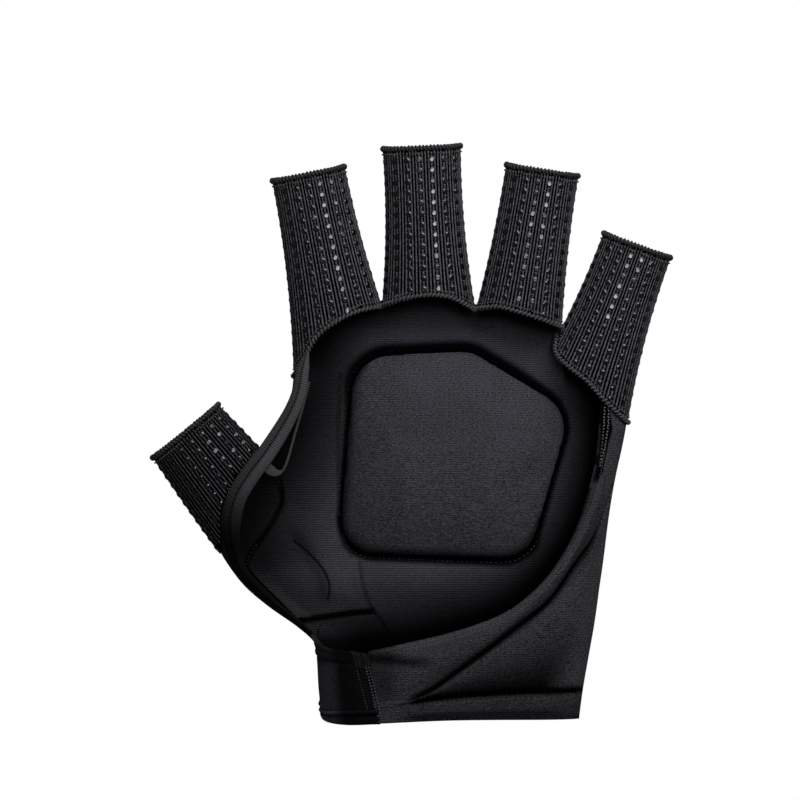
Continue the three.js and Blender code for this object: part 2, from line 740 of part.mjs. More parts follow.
function tapePoint(run, u, v, side) {
  const point = run.getPointAt(u);
  const tangent = run.getTangentAt(u);
  const across = new THREE.Vector3(tangent.y, -tangent.x, 0).multiplyScalar(side * TAPE_THICK);
  return point.add(across).add(new THREE.Vector3(0, 0, v * TAPE_TALL)).toArray();
}

makeShell();
PADS.forEach(makePad);
makeHeelPanel();
makeGusset();
makeBinding();
makeTape();
for (const row of SLEEVES) addPiece(row.name + "_sleeve", sleeveWall(row, 0), blackKnit);
SLEEVES.forEach(makeTipRoll);
FINGERS.forEach(makeFootSeam);

export default glove;
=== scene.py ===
import math

import bpy
import numpy as np
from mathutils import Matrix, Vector
from mathutils.bvhtree import BVHTree


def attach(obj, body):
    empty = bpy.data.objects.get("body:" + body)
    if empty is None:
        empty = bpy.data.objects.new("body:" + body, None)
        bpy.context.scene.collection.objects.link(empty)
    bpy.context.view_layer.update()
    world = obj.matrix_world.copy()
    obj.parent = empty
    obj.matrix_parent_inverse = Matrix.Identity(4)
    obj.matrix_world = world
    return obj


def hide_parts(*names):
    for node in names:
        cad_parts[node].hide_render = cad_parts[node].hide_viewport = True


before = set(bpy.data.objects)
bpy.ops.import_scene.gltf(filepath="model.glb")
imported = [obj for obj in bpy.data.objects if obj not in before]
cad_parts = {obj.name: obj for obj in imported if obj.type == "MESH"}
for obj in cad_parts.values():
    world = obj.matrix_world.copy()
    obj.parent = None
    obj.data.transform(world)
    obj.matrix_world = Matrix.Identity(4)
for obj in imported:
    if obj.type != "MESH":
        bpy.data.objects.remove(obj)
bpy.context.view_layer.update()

# Camera, table and lights
# The glove is seen from straight above, through a long lens, with its fingers up the picture. It lies on a
# white table that glows a little. One softbox stands beyond the fingers on the right, and one hangs high
# over the glove. Every size and place here is in millimetres unless its name says otherwise.
MM = 0.001
# what the picture shows at half the glove's height: its width and the place of its middle
PICTURE_WIDTH = 248.0
PICTURE_MIDDLE = (-3.41, 10.4)
CAMERA_HEIGHT = 3000.0
GLOVE_MIDDLE_HEIGHT = 15.0
SENSOR = 36.0
FAR_CLIP_METRES = 20.0


def linear(code):
    """An sRGB hex colour as the linear colour that a socket takes."""
    parts = [int(code[i : i + 2], 16) / 255 for i in (1, 3, 5)]
    return (*[c / 12.92 if c <= 0.04045 else ((c + 0.055) / 1.055) ** 2.4 for c in parts], 1.0)


def add(tree, kind, *inputs, **settings):
    """Adds a node with its settings. Its inputs come in the order of its sockets, then in a dict by their
    names. An input is a plain value, a socket to link, or a node whose first output is linked."""
    node = tree.nodes.new(kind)
    for name, value in settings.items():
        setattr(node, name, value)
    named = inputs[-1] if inputs and isinstance(inputs[-1], dict) else {}
    in_order = inputs[:-1] if named else inputs
    for key, value in [*enumerate(in_order), *named.items()]:
        if isinstance(value, bpy.types.Node):
            value = value.outputs[0]
        if isinstance(value, bpy.types.NodeSocket):
            tree.links.new(value, node.inputs[key])
        else:
            node.inputs[key].default_value = value
    return node


def new_material(name):
    """An empty material and its node tree."""
    material = bpy.data.materials.new(name)
    material.use_nodes = True
    material.node_tree.nodes.clear()
    return material, material.node_tree


def new_object(name, data):
    """A new object of the scene that holds a mesh, a lamp or a camera."""
    made = bpy.data.objects.new(name, data)
    bpy.context.scene.collection.objects.link(made)
    return made


def softbox(name, place, target, wide, tall, watts, colour):
    """A flat lamp that faces a point."""
    data = bpy.data.lights.new(name, "AREA")
    data.shape = "RECTANGLE"
    data.size = wide * MM
    data.size_y = tall * MM
    data.energy = watts
    data.color = linear(colour)[:3]
    lamp = new_object(name, data)
    lamp.location = Vector(place) * MM
    lamp.rotation_euler = (Vector(target) - Vector(place)).to_track_quat("-Z", "Y").to_euler()


camera_data = bpy.data.cameras.new("camera")
camera_data.sensor_width = SENSOR
camera_data.lens = SENSOR * (CAMERA_HEIGHT - GLOVE_MIDDLE_HEIGHT) / PICTURE_WIDTH
camera_data.clip_end = FAR_CLIP_METRES
camera = new_object("camera", camera_data)
camera.location = Vector((*PICTURE_MIDDLE, CAMERA_HEIGHT)) * MM
bpy.context.scene.camera = camera
bpy.context.scene.view_settings.view_transform = "Standard"

# Backlit acrylic sheet, satin: the camera sees it burn out to white, but it hardly lights the glove
table_white, tree = new_material("backlit_white_acrylic")
satin = add(tree, "ShaderNodeBsdfPrincipled", {"Base Color": linear("#6e6e70"), "Roughness": 0.7})
glow = add(tree, "ShaderNodeEmission", {"Color": linear("#ffffff"), "Strength": 1.0})
seen = add(tree, "ShaderNodeLightPath")
backlit = add(tree, "ShaderNodeMixShader", seen.outputs["Is Camera Ray"], satin, glow)
add(tree, "ShaderNodeOutputMaterial", backlit)

TABLE_HALF = 4000.0
TABLE_DROP = 0.2
corners = [(-1, -1), (1, -1), (1, 1), (-1, 1)]
table_mesh = bpy.data.meshes.new("table")
table_mesh.from_pydata(
    [(x * TABLE_HALF * MM, y * TABLE_HALF * MM, -TABLE_DROP * MM) for x, y in corners], [], [(0, 1, 2, 3)]
)
table_mesh.materials.append(table_white)
new_object("table", table_mesh)

ROOM_LIGHT = 0.1
world = bpy.data.worlds.new("studio")
world.use_nodes = True
world.node_tree.nodes["Background"].inputs["Color"].default_value = linear("#ffffff")
world.node_tree.nodes["Background"].inputs["Strength"].default_value = ROOM_LIGHT
bpy.context.scene.world = world

softbox("softbox_upper_right", (240, 600, 500), (0, 0, 0), wide=700, tall=440, watts=4.9, colour="#ffffff")
softbox("softbox_overhead", (480, 570, 2650), (0, 20, 0), wide=760, tall=760, watts=16.5, colour="#fbfbff")

# Back shell
# The padded back of the glove: 6 mm of foam between two skins of jersey, curled up round both sides of the
# hand. Its lining is sewn down round the pads, and it thins to a sewn lip all round.
SHELL_WALL = 6.0
LIP_WALL = 2.6
# the wall thins over this width at the hem and the knuckles
TAPER = 9.0
HEM_Y = -88.4
# below this y the cloth's rows run level and are this share of them all, and above it they fan out
LEVEL_Y = -2.0
LEVEL_SHARE = 0.62
HAND = np.array([
    # y, left, right, height, lip, curl left, curl right
    (-91, -27.2, 51.8, 29.0, 14.5, 15, 16),
    (-80, -28.6, 53.2, 30.0, 15.0, 15, 16),
    (-70, -29.2, 54.9, 30.5, 15.0, 15, 16),
    (-65, -29.9, 55.8, 30.3, 13.5, 12, 16),
    (-60, -35.3, 56.7, 30.0, 11.5, 10, 16),
    (-54, -43.9, 57.6, 29.3, 10.0, 10, 16),
    (-48, -51.1, 58.4, 28.4, 9.0, 12, 16),
    (-42, -56.0, 59.3, 27.4, 8.2, 12, 16),
    (-36, -59.6, 60.1, 26.4, 7.2, 12, 16),
    (-28, -61.9, 61.1, 25.2, 6.4, 12, 15),
    (-20, -61.0, 62.3, 24.1, 6.4, 12, 15),
    (-12, -55.3, 63.8, 23.0, 8.0, 13, 14),
    (-4, -46.4, 65.6, 22.0, 12.0, 14, 14),
    (3, -41.1, 66.9, 20.4, 15.5, 15, 13),
    (10, -37.7, 67.6, 19.0, 16.0, 15, 12),
    (16, -36.6, 68.0, 18.6, 14.5, 15, 12),
    (22, -36.6, 68.0, 18.2, 10.0, 14, 12),
    (32, -37.2, 67.5, 17.6, 7.0, 12, 12),
    (48, -37.5, 66.0, 17.0, 6.5, 12, 12),
])
# Sleeves: middle of the tip, lean, width at the tip, 25 and 50 mm down, the foot's six depths from left to
# right, and the height at the tip and at the foot. The shell's upper edge follows their feet.
SLEEVES = {
    "thumb": (-68.8, -0.9, -39.0, 27.0, 30.8, 33.0, (34.2, 31.1, 24.4, 20.1, 18.0, 16.8), 13.5, 18.0),
    "index": (-31.5, 78.7, -11.3, 23.1, 25.2, 30.8, (58.1, 54.8, 47.9, 44.1, 42.4, 42.2), 12.5, 18.0),
    "middle": (3.4, 86.85, -2.35, 24.2, 24.8, 29.6, (46.1, 45.5, 44.3, 43.5, 44.5, 48.5), 13.0, 18.5),
    "ring": (40.5, 79.75, 9.1, 22.8, 24.2, 28.4, (43.3, 42.7, 41.6, 42.2, 43.2, 44.4), 12.5, 18.0),
    "little": (69.6, 56.5, 20.3, 22.4, 25.2, 32.4, (32.0, 37.3, 40.1, 42.5, 46.5, 50.0), 12.0, 18.0),
}
FINGERS = ("index", "middle", "ring", "little")
FOOT_SHARES = np.array([-1.0, -0.85, -0.5, 0.0, 0.5, 1.0])
SLEEVE_SINK = 1.6
SLEEVE_WALL = 1.6
# the shell's edge is drawn in by this depth over this width, and reaches this far under the sleeves' feet
TUCK_DEPTH = 1.8
TUCK = 1.6
UNDER_FOOT = 1.0
# the share of a curl over which the wall grows from its lip, and the least wall that any groove leaves
LIP_SHARE = 0.85
LEAST_WALL = 0.8
# faces of the shell's upper skin, and the girth of each curl and of the floor that share them out
SHELL_ACROSS = 244
SHELL_ALONG = 220
CURL_GIRTH = 20.0
FLOOR_GIRTH = 84.0
# The pads that the lining is sewn down round: corners in plan, each with its rounding
PALM_PAD = ((-18.0, 24.3, 13), (18.4, 26.2, 12), (50.5, 7.0, 12), (36.9, -39.8, 12), (-23.2, -37.4, 11))
THUMB_PAD = (
    (-24.9, -8.6, 6), (-26.6, -39.6, 5), (-16.6, -46.0, 4), (-13.4, -54.2, 2),
    (-34.8, -57.2, 2), (-50.4, -41.0, 3), (-38.4, -12.2, 7),
)
HEEL_PAD = ((-12.8, -57.2, 2), (-6.6, -65.0, 4), (-9.5, -73.0, 3), (-21.5, -72.0, 3), (-29.6, -60.6, 2))
# each pad: how deep its pocket is, and how deep the groove of its seam is
PAD_POCKETS = ((PALM_PAD, 3.2, 1.6), (THUMB_PAD, 2.0, 0.0), (HEEL_PAD, 2.0, 0.0))
# Edges of the palm opening in plan: that of the heel panel, and that of the web binding
PALM_EDGE = (
    (67.6, 4.4), (65.0, 7.7), (62.4, 10.4), (60.4, 9.6), (59.6, 5.0), (59.5, 0.4), (59.0, -6.4),
    (56.0, -19.1), (49.9, -33.3), (40.1, -46.3), (29.6, -54.9), (14.0, -60.9), (-3.4, -65.1), (-13.2, -67.2),
)
WEB_EDGE = ((-32.0, 24.0), (-35.0, 8.0), (-42.0, -4.0), (-52.0, -20.0), (-53.0, -30.0), (-52.0, -38.0))
# Folds and seams of the lining, in plan
PALM_SIDE_SEAM = (
    (-21.9, 18.0), (-22.6, 8.0), (-22.6, -14.0), (-22.2, -26.0), (-20.8, -33.0), (-18.6, -38.5),
)
WRIST_FOLD = (
    (-16.9, -36.4), (-15.8, -42.0), (-14.9, -47.9), (-12.6, -54.0), (-9.8, -57.8), (-7.0, -62.6),
)
HEEL_PAD_SEAM = ((-33.9, -58.3), (-25.6, -57.2), (-19.7, -56.3), (-12.2, -55.6))
THUMB_PAD_SEAM = (
    (-40.9, -15.0), (-40.3, -21.5), (-42.2, -25.9), (-45.3, -31.2), (-49.3, -36.4), (-51.3, -40.5),
)
THUMB_CREASE = (
    (-36.3, -33.6), (-32.2, -37.0), (-28.2, -41.4), (-26.0, -45.4), (-25.4, -49.2), (-26.0, -51.6),
)
THUMB_HOLLOW = ((-35.5, -32.1), (-31.0, -39.5), (-28.2, -45.0), (-26.7, -51.3))
LINING_FOLDS = (
    # line, depth, half width
    (PALM_SIDE_SEAM, 0.5, 0.55),
    (WRIST_FOLD, 0.35, 0.6),
    (HEEL_PAD_SEAM, 1.9, 0.8),
    (THUMB_PAD_SEAM, 1.0, 0.7),
    (THUMB_CREASE, 0.9, 0.4),
    (THUMB_HOLLOW, 0.35, 2.0),
)


def smooth(at, knots, values):
    """A smooth curve through values at rising knots, read at one or many places."""
    knots = np.asarray(knots, float)
    values = np.asarray(values, float)
    slopes = np.empty_like(values)
    slopes[1:-1] = (values[2:] - values[:-2]) / (knots[2:] - knots[:-2])
    slopes[0] = (values[1] - values[0]) / (knots[1] - knots[0])
    slopes[-1] = (values[-1] - values[-2]) / (knots[-1] - knots[-2])
    i = np.clip(np.searchsorted(knots, at, side="right") - 1, 0, len(knots) - 2)
    step = knots[i + 1] - knots[i]
    t = np.clip((at - knots[i]) / step, 0, 1)
    bend = t * (1 - t) * ((1 - t) * slopes[i] * step - t * slopes[i + 1] * step)
    return values[i] + t * t * (3 - 2 * t) * (values[i + 1] - values[i]) + bend


def ease(t):
    """0 to 1 with soft ends."""
    c = np.clip(t, 0, 1)
    return c * c * (3 - 2 * c)


def bell(t):
    """1 at 0, and down to 0 on both sides."""
    return np.exp(-(t**2))


def hand_at(y):
    """The hand's left, right, height, lip and two curls at y."""
    return [smooth(y, HAND[:, 0], HAND[:, k]) for k in range(1, 7)]


def hand_point(q, y, inset):
    """A point of the hand's ring-shaped section at y. q runs from the left lip down (0 to 1), along the
    floor (to 2), up the right side (to 3), its return (to 4), the palm side (to 5) and the left return (to
    6)."""
    left, right, height, lip, curl_left, curl_right = hand_at(y)
    inner_left = left + curl_left
    inner_right = right - curl_right
    side = height / 2
    part = np.clip(np.floor(q), 0, 5)
    turn = (q - part) * (math.pi / 2)
    sin, cos = np.sin(turn), np.cos(turn)
    floor_x = inner_left + (inner_right - inner_left) * (q - 1)
    palm_x = inner_right + (inner_left - inner_right) * (q - 4)
    which = [part == k for k in range(6)]
    x = np.select(which, [
        inner_left - (curl_left - inset) * cos,
        floor_x,
        inner_right + (curl_right - inset) * sin,
        inner_right + (curl_right - inset) * cos,
        palm_x,
        inner_left - (curl_left - inset) * sin,
    ])
    z = np.select(which, [
        lip - (lip - inset) * sin,
        inset + 0 * q,
        side - (side - inset) * cos,
        side + (side - inset) * sin,
        height - inset + 0 * q,
        lip + (height - inset - lip) * cos,
    ])
    return np.stack([x, y + 0 * x, z], -1)


# the depth between the places at which a sleeve's widths are given
WIDTH_STEP = 25.0


def sleeve_width(name, down):
    """A sleeve's width at a depth below its tip."""
    at_tip, halfway, at_foot = SLEEVES[name][3:6]
    steps = down / WIDTH_STEP
    bend = at_foot - 2 * halfway + at_tip
    return at_tip + steps * (halfway - at_tip - bend / 2) + steps * steps * bend / 2


def foot_at(name, share, past=0.0):
    """How far below its tip a sleeve ends, across its width from -1 to 1."""
    depths = SLEEVES[name][6]
    down = smooth(share, FOOT_SHARES, depths)
    rise = smooth(share + 0.02, FOOT_SHARES, depths) - smooth(share - 0.02, FOOT_SHARES, depths)
    return down + past * np.hypot(1, rise / (0.02 * sleeve_width(name, down)))


def sleeve_place(name, down, aside, z):
    """A point in the glove from its place on a sleeve."""
    tip_x, tip_y, lean = SLEEVES[name][:3]
    sin, cos = math.sin(math.radians(lean)), math.cos(math.radians(lean))
    return np.stack([tip_x - sin * down + cos * aside, tip_y - cos * down - sin * aside, z + 0 * down], -1)


def foot_line(name, past, steps=24):
    """A sleeve's foot in plan, from its left side to its right."""
    share = np.linspace(-1, 1, steps + 1)
    down = foot_at(name, share, past)
    return sleeve_place(name, down, share * sleeve_width(name, down) / 2, 0.0)


def rising(points):
    """The points of a line that get further to the right, so that it can be read by x."""
    kept = [points[0]]
    for point in points[1:]:
        if point[0] > kept[-1][0] + 0.4:
            kept.append(point)
    return np.array(kept)


def rounded_outline(corners, steps=10, margin=0.0):
    """A closed outline with each corner rounded, moved outwards by a margin."""
    corners_xy = np.array([c[:2] for c in corners])
    centre = corners_xy.mean(0)
    out = []
    for i, (x, y, radius) in enumerate(corners):
        at = np.array((x, y))
        back = corners_xy[i - 1] - at
        ahead = corners_xy[(i + 1) % len(corners)] - at
        back /= np.linalg.norm(back)
        ahead /= np.linalg.norm(ahead)
        half = math.acos(np.clip(back @ ahead, -1, 1)) / 2
        middle = back + ahead
        middle = at + middle / np.linalg.norm(middle) * radius / math.sin(half)
        start = at + back * radius / math.tan(half) - middle
        end = at + ahead * radius / math.tan(half) - middle
        sweep = math.atan2(start[0] * end[1] - start[1] * end[0], start @ end)
        for k in range(steps + 1):
            a = sweep * k / steps
            sin, cos = math.sin(a), math.cos(a)
            out.append(middle + (start[0] * cos - start[1] * sin, start[0] * sin + start[1] * cos))
    out = np.array(out)
    along = np.roll(out, -1, 0) - np.roll(out, 1, 0)
    normal = np.stack([-along[:, 1], along[:, 0]], -1)
    normal /= np.linalg.norm(normal, axis=1, keepdims=True) + 1e-9
    if (normal * (out - centre)).sum() < 0:
        normal = -normal
    return out + normal * margin


def evenly(points, spacing, closed=False):
    """Points at an even spacing along a line."""
    points = np.asarray(points, float)
    if closed:
        points = np.vstack([points, points[:1]])
    lengths = np.concatenate([[0], np.cumsum(np.linalg.norm(np.diff(points, axis=0), axis=1))])
    count = max(int(round(lengths[-1] / spacing)), 3)
    at = np.linspace(0, lengths[-1], count + 1)
    if closed:
        at = at[:-1]
    return np.stack([np.interp(at, lengths, points[:, k]) for k in range(points.shape[1])], -1)


def curve_through(points, spacing):
    """An evenly spaced smooth curve through a few points."""
    points = np.asarray(points, float)
    knots = np.concatenate([[0], np.cumsum(np.linalg.norm(np.diff(points, axis=0), axis=1))])
    fine = np.linspace(0, knots[-1], 400)
    return evenly(np.stack([smooth(fine, knots, points[:, k]) for k in range(points.shape[1])], -1), spacing)


def distance_to(line, x, y, closed=False):
    """The distance in plan from each point to a line."""
    line = np.asarray(line, float)[:, :2]
    ends = np.roll(line, -1, 0) if closed else line[1:]
    best = np.full(np.shape(x), 1e9)
    for a, b in zip(line, ends):
        d = b - a
        t = np.clip(((x - a[0]) * d[0] + (y - a[1]) * d[1]) / (d @ d + 1e-12), 0, 1)
        best = np.minimum(best, (x - a[0] - t * d[0]) ** 2 + (y - a[1] - t * d[1]) ** 2)
    return np.sqrt(best)


def inside(outline, x, y):
    """Whether each point lies inside a closed outline."""
    found = np.zeros(np.shape(x), bool)
    for a, b in zip(outline, np.roll(outline, -1, 0)):
        crosses = (a[1] > y) != (b[1] > y)
        with np.errstate(divide="ignore", invalid="ignore"):
            found ^= crosses & (x < (b[0] - a[0]) * (y - a[1]) / (b[1] - a[1]) + a[0])
    return found


def with_vectors(mesh, label, vectors):
    """Stores a vector for each point of a mesh, and smooths its faces."""
    layer = mesh.attributes.new(label, "FLOAT_VECTOR", "POINT")
    layer.data.foreach_set("vector", np.asarray(vectors, np.float32).ravel())
    mesh.polygons.foreach_set("use_smooth", [True] * len(mesh.polygons))


def places_in(mesh):
    """A mesh's points, in metres."""
    at = np.empty(len(mesh.vertices) * 3)
    mesh.vertices.foreach_get("co", at)
    return at.reshape(-1, 3)


def closed_piece(name, points, faces, material, cloth=None):
    """A piece with a closed mesh whose faces point outwards. cloth gives each point's place on its flat
    cloth, and the painted shade there."""
    mesh = bpy.data.meshes.new(name)
    mesh.from_pydata((np.reshape(points, (-1, 3)) * MM).tolist(), [], [tuple(map(int, f)) for f in faces])
    if cloth is not None:
        with_vectors(mesh, "cloth", cloth)
    mesh.materials.append(material)
    mesh.calc_loop_triangles()
    triangles = np.empty(len(mesh.loop_triangles) * 3, int)
    mesh.loop_triangles.foreach_get("vertices", triangles)
    a, b, c = places_in(mesh)[triangles.reshape(-1, 3)].transpose(1, 0, 2)
    # a negative volume means that the faces point inwards
    if (a * np.cross(b, c)).sum() < 0:
        mesh.flip_normals()
    return new_object(name, mesh)


def two_skins(fine, coarse):
    """Points and faces of a wall between a fine skin and one of half its rows and columns, with its rim."""
    rows, columns = fine.shape[:2]
    half_rows, half_columns = coarse.shape[:2]
    points = np.vstack([fine.reshape(-1, 3), coarse.reshape(-1, 3)])
    shift = rows * columns
    a = (np.arange(rows - 1)[:, None] * columns + np.arange(columns - 1)).ravel()
    faces = np.stack([a, a + 1, a + columns + 1, a + columns], -1).tolist()
    a = (shift + np.arange(half_rows - 1)[:, None] * half_columns + np.arange(half_columns - 1)).ravel()
    faces += np.stack([a, a + half_columns, a + half_columns + 1, a + 1], -1).tolist()
    rim = [(0, c) for c in range(0, columns - 1, 2)] + [(r, columns - 1) for r in range(0, rows - 1, 2)]
    rim += [(rows - 1, c) for c in range(columns - 1, 0, -2)] + [(r, 0) for r in range(rows - 1, 0, -2)]
    fine_at = [r * columns + c for r, c in rim]
    coarse_at = [shift + r // 2 * half_columns + c // 2 for r, c in rim]
    for i, (r, c) in enumerate(rim):
        j = (i + 1) % len(rim)
        middle = (r + rim[j][0]) // 2 * columns + (c + rim[j][1]) // 2
        faces += [[fine_at[i], coarse_at[i], middle], [middle, coarse_at[i], coarse_at[j]],
                  [middle, coarse_at[j], fine_at[j]]]
    return points, faces


def walled(name, skin_at, along, across, material):
    """A piece with a wall between two skins: skin_at gives each one, and its places on the cloth."""
    outer, outer_cloth = skin_at(along + 1, across + 1, True)
    inner, inner_cloth = skin_at(along // 2 + 1, across // 2 + 1, False)
    cloth = np.vstack([outer_cloth.reshape(-1, 3), inner_cloth.reshape(-1, 3)])
    return closed_piece(name, *two_skins(outer, inner), material, cloth)


def finished(piece, slot, *nodes):
    """Lets a piece ride with the glove and stand for its nodes. Its slot is not used."""
    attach(piece, "root")
    if nodes:
        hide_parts(*nodes)


# Warp-knitted polyester jersey, brushed and laminated to foam: black, dull, with a faint bloom at grazing
# angles. Its courses and wales lie further apart than the real ones, so that they show.
COURSE = 0.72
WALE = 0.66
# the sockets of a Mix node's two colours and its result, whose names its sockets for numbers share
COLOUR_A, COLOUR_B, MIXED = 6, 7, 2


def surface(tree, height, strength, depth, finish):
    """Ends a material: a bump of some strength and depth under the sockets of its finish."""
    bump = add(tree, "ShaderNodeBump", {"Height": height, "Strength": strength, "Distance": depth * MM})
    shader = add(tree, "ShaderNodeBsdfPrincipled", {**finish, "Normal": bump})
    add(tree, "ShaderNodeOutputMaterial", shader)


def jersey(name, low, high, courses, wales, grain, sheen):
    """The jersey's material. courses, wales and grain say how plainly its lines and its nap show. The third
    part of the cloth's place is painted light and shade: where it is high the dye is greyed and glossier as
    if lit, and where it is low the dye is painted black and dull as shade."""
    material, tree = new_material(name)
    cloth = add(tree, "ShaderNodeAttribute", attribute_name="cloth").outputs["Vector"]
    drift = add(tree, "ShaderNodeTexNoise", {"Vector": cloth, "Scale": 0.35, "Detail": 1.0})
    sway = add(tree, "ShaderNodeMath", drift, 1.6, operation="MULTIPLY")
    place = add(tree, "ShaderNodeSeparateXYZ", cloth)
    across = add(tree, "ShaderNodeMath", place, 2 * math.pi / WALE, operation="MULTIPLY")
    up = add(tree, "ShaderNodeMath", place.outputs[1], 2 * math.pi / COURSE, sway, operation="MULTIPLY_ADD")
    wale = add(tree, "ShaderNodeMath", across, operation="SINE")
    course = add(tree, "ShaderNodeMath", up, operation="SINE")
    brushed = add(tree, "ShaderNodeVectorMath", cloth, (0.7, 1.5, 1.0), operation="MULTIPLY")
    nap = add(tree, "ShaderNodeTexNoise", brushed, {"Scale": 2.0, "Detail": 3.0, "Roughness": 0.7})
    lines = add(tree, "ShaderNodeMath", course, 0.5 * courses, 0.5, operation="MULTIPLY_ADD")
    loops = add(tree, "ShaderNodeMath", wale, 0.5 * wales, lines, operation="MULTIPLY_ADD")
    rough_nap = add(tree, "ShaderNodeMath", nap, 0.5, operation="SUBTRACT")
    relief = add(tree, "ShaderNodeMath", rough_nap, 3.5 * grain, loops, operation="MULTIPLY_ADD")
    patches = add(tree, "ShaderNodeTexNoise", {"Vector": cloth, "Scale": 0.05, "Detail": 2.0})
    shade = add(tree, "ShaderNodeMath", patches, 0.5, relief, operation="MULTIPLY_ADD")
    colour = add(tree, "ShaderNodeMapRange", {"Value": shade, "From Min": 0.0, "From Max": 1.5})
    greys = {COLOUR_A: linear(low), COLOUR_B: linear(high)}
    greyed = add(tree, "ShaderNodeMix", colour, greys, data_type="RGBA")
    # painted shade: the third part of the cloth's place darkens the dye to black and dims its gloss where
    # shade falls
    dyes = {COLOUR_A: linear("#020202"), COLOUR_B: greyed.outputs[MIXED]}
    dye = add(tree, "ShaderNodeMix", place.outputs[2], dyes, data_type="RGBA")
    gloss_under_painted_light = add(tree, "ShaderNodeMath", place.outputs[2], 0.2, operation="MULTIPLY")
    surface(tree, relief, 0.8, 0.12, {
        "Base Color": dye.outputs[MIXED],
        "Roughness": 0.8,
        "Specular IOR Level": gloss_under_painted_light,
        "Sheen Weight": sheen,
        "Sheen Roughness": 0.45,
        "Sheen Tint": linear("#8f8f96"),
    })
    return material


lining_jersey = jersey(
    "warp_knit_jersey_lining", "#101012", "#55555c", courses=0.7, wales=0.1, grain=0.6, sheen=0.02
)

knuckles = rising(np.vstack([foot_line(name, -UNDER_FOOT) for name in FINGERS]))
thumb_foot = foot_line("thumb", -UNDER_FOOT)
outlines = [(rounded_outline(corners), *sizes) for corners, *sizes in PAD_POCKETS]


# where the web between the ring and the little finger lies
LITTLE_WEB_X = 47.4


def shell_top(x):
    """How far up the shell goes: it's tucked a little under the finger sleeves, and fills the web beside
    the little finger."""
    return np.interp(x, knuckles[:, 0], knuckles[:, 1]) + bell(x - LITTLE_WEB_X)


def first_quarter(y):
    """Where the shell's section starts: at its lip, or inside the thumb sleeve's foot."""
    left, right, _, _, curl_left, curl_right = hand_at(y)
    inner_left = left + curl_left
    foot_x = np.interp(y, thumb_foot[:, 1], thumb_foot[:, 0], left=-99, right=-99)
    on_curl = 2 / math.pi * np.arccos(np.clip((inner_left - foot_x) / curl_left, 0, 1))
    on_floor = np.clip((foot_x - inner_left) / (right - curl_right - inner_left), 0, 1)
    return on_curl + on_floor


def folded_in(x, y):
    """How deep the lining's soft folds go."""
    depth = np.zeros(np.shape(x))
    for points, deep, reach in LINING_FOLDS:
        away = distance_to(curve_through(points, 1.5), x, y)
        depth = np.maximum(depth, deep * bell(away / reach))
    return depth


def sewn_down(x, y):
    """How far the lining is drawn into the foam by its folds and by the seams round its pads. The palm
    pad's seam pulls deepest at its finger end and its wrist end."""
    depth = folded_in(x, y)
    toward_fingers = ease((y - 4) / 18)
    toward_wrist = ease((-30 - y) / 7)
    reach = 0.6 + 1.2 * toward_fingers + 0.8 * toward_wrist
    strained = 1 + 0.6 * np.maximum(toward_fingers, toward_wrist)
    for outline, pocket, deep in outlines:
        away = distance_to(outline, x, y, closed=True)
        groove = deep * strained * bell((away - 0.3) / reach)
        depth = np.maximum(depth, np.where(inside(outline, x, y), pocket, groove))
    return depth


def painted_lining_shade(x, y, drawn):
    """Painted light and shade on the lining, from 0 to 1: darkest where the cloth dives under an edge, under
    the knuckles, where a seam or fold draws it in, over the heel pad, towards the thumb and towards the
    wrist."""
    from_heel = distance_to(curve_through(PALM_EDGE, 2.0), x, y)
    from_web = distance_to(curve_through(WEB_EDGE, 2.0), x, y)
    from_knuckles = np.maximum(shell_top(x) - y, 0)
    low_palm = 1 - 0.35 * ease((-40 - y) / 12)
    from_thumb = (from_web - 2) / (30 - 9 * ease((-36 - y) / 8))
    open_palm = low_palm * ease((from_heel - 1) / 22) ** 0.8 * (0.12 + 0.88 * ease(from_thumb))
    by_heel_pad = 1 - (0.3 * ease((-55.5 - y) / 3) + 0.6 * ease((-59.5 - y) / 6)) * ease((-3 - x) / 8)
    by_thumb = 1 - 0.3 * ease((-18 - x) / 16) * ease((4 - y) / 16)
    return open_palm * by_heel_pad * by_thumb * ease((from_knuckles + 1) / 14) * np.exp(-1.6 * drawn)


# how worn the cloth is all over the shell's outside
OUTSIDE_WEAR = 0.6


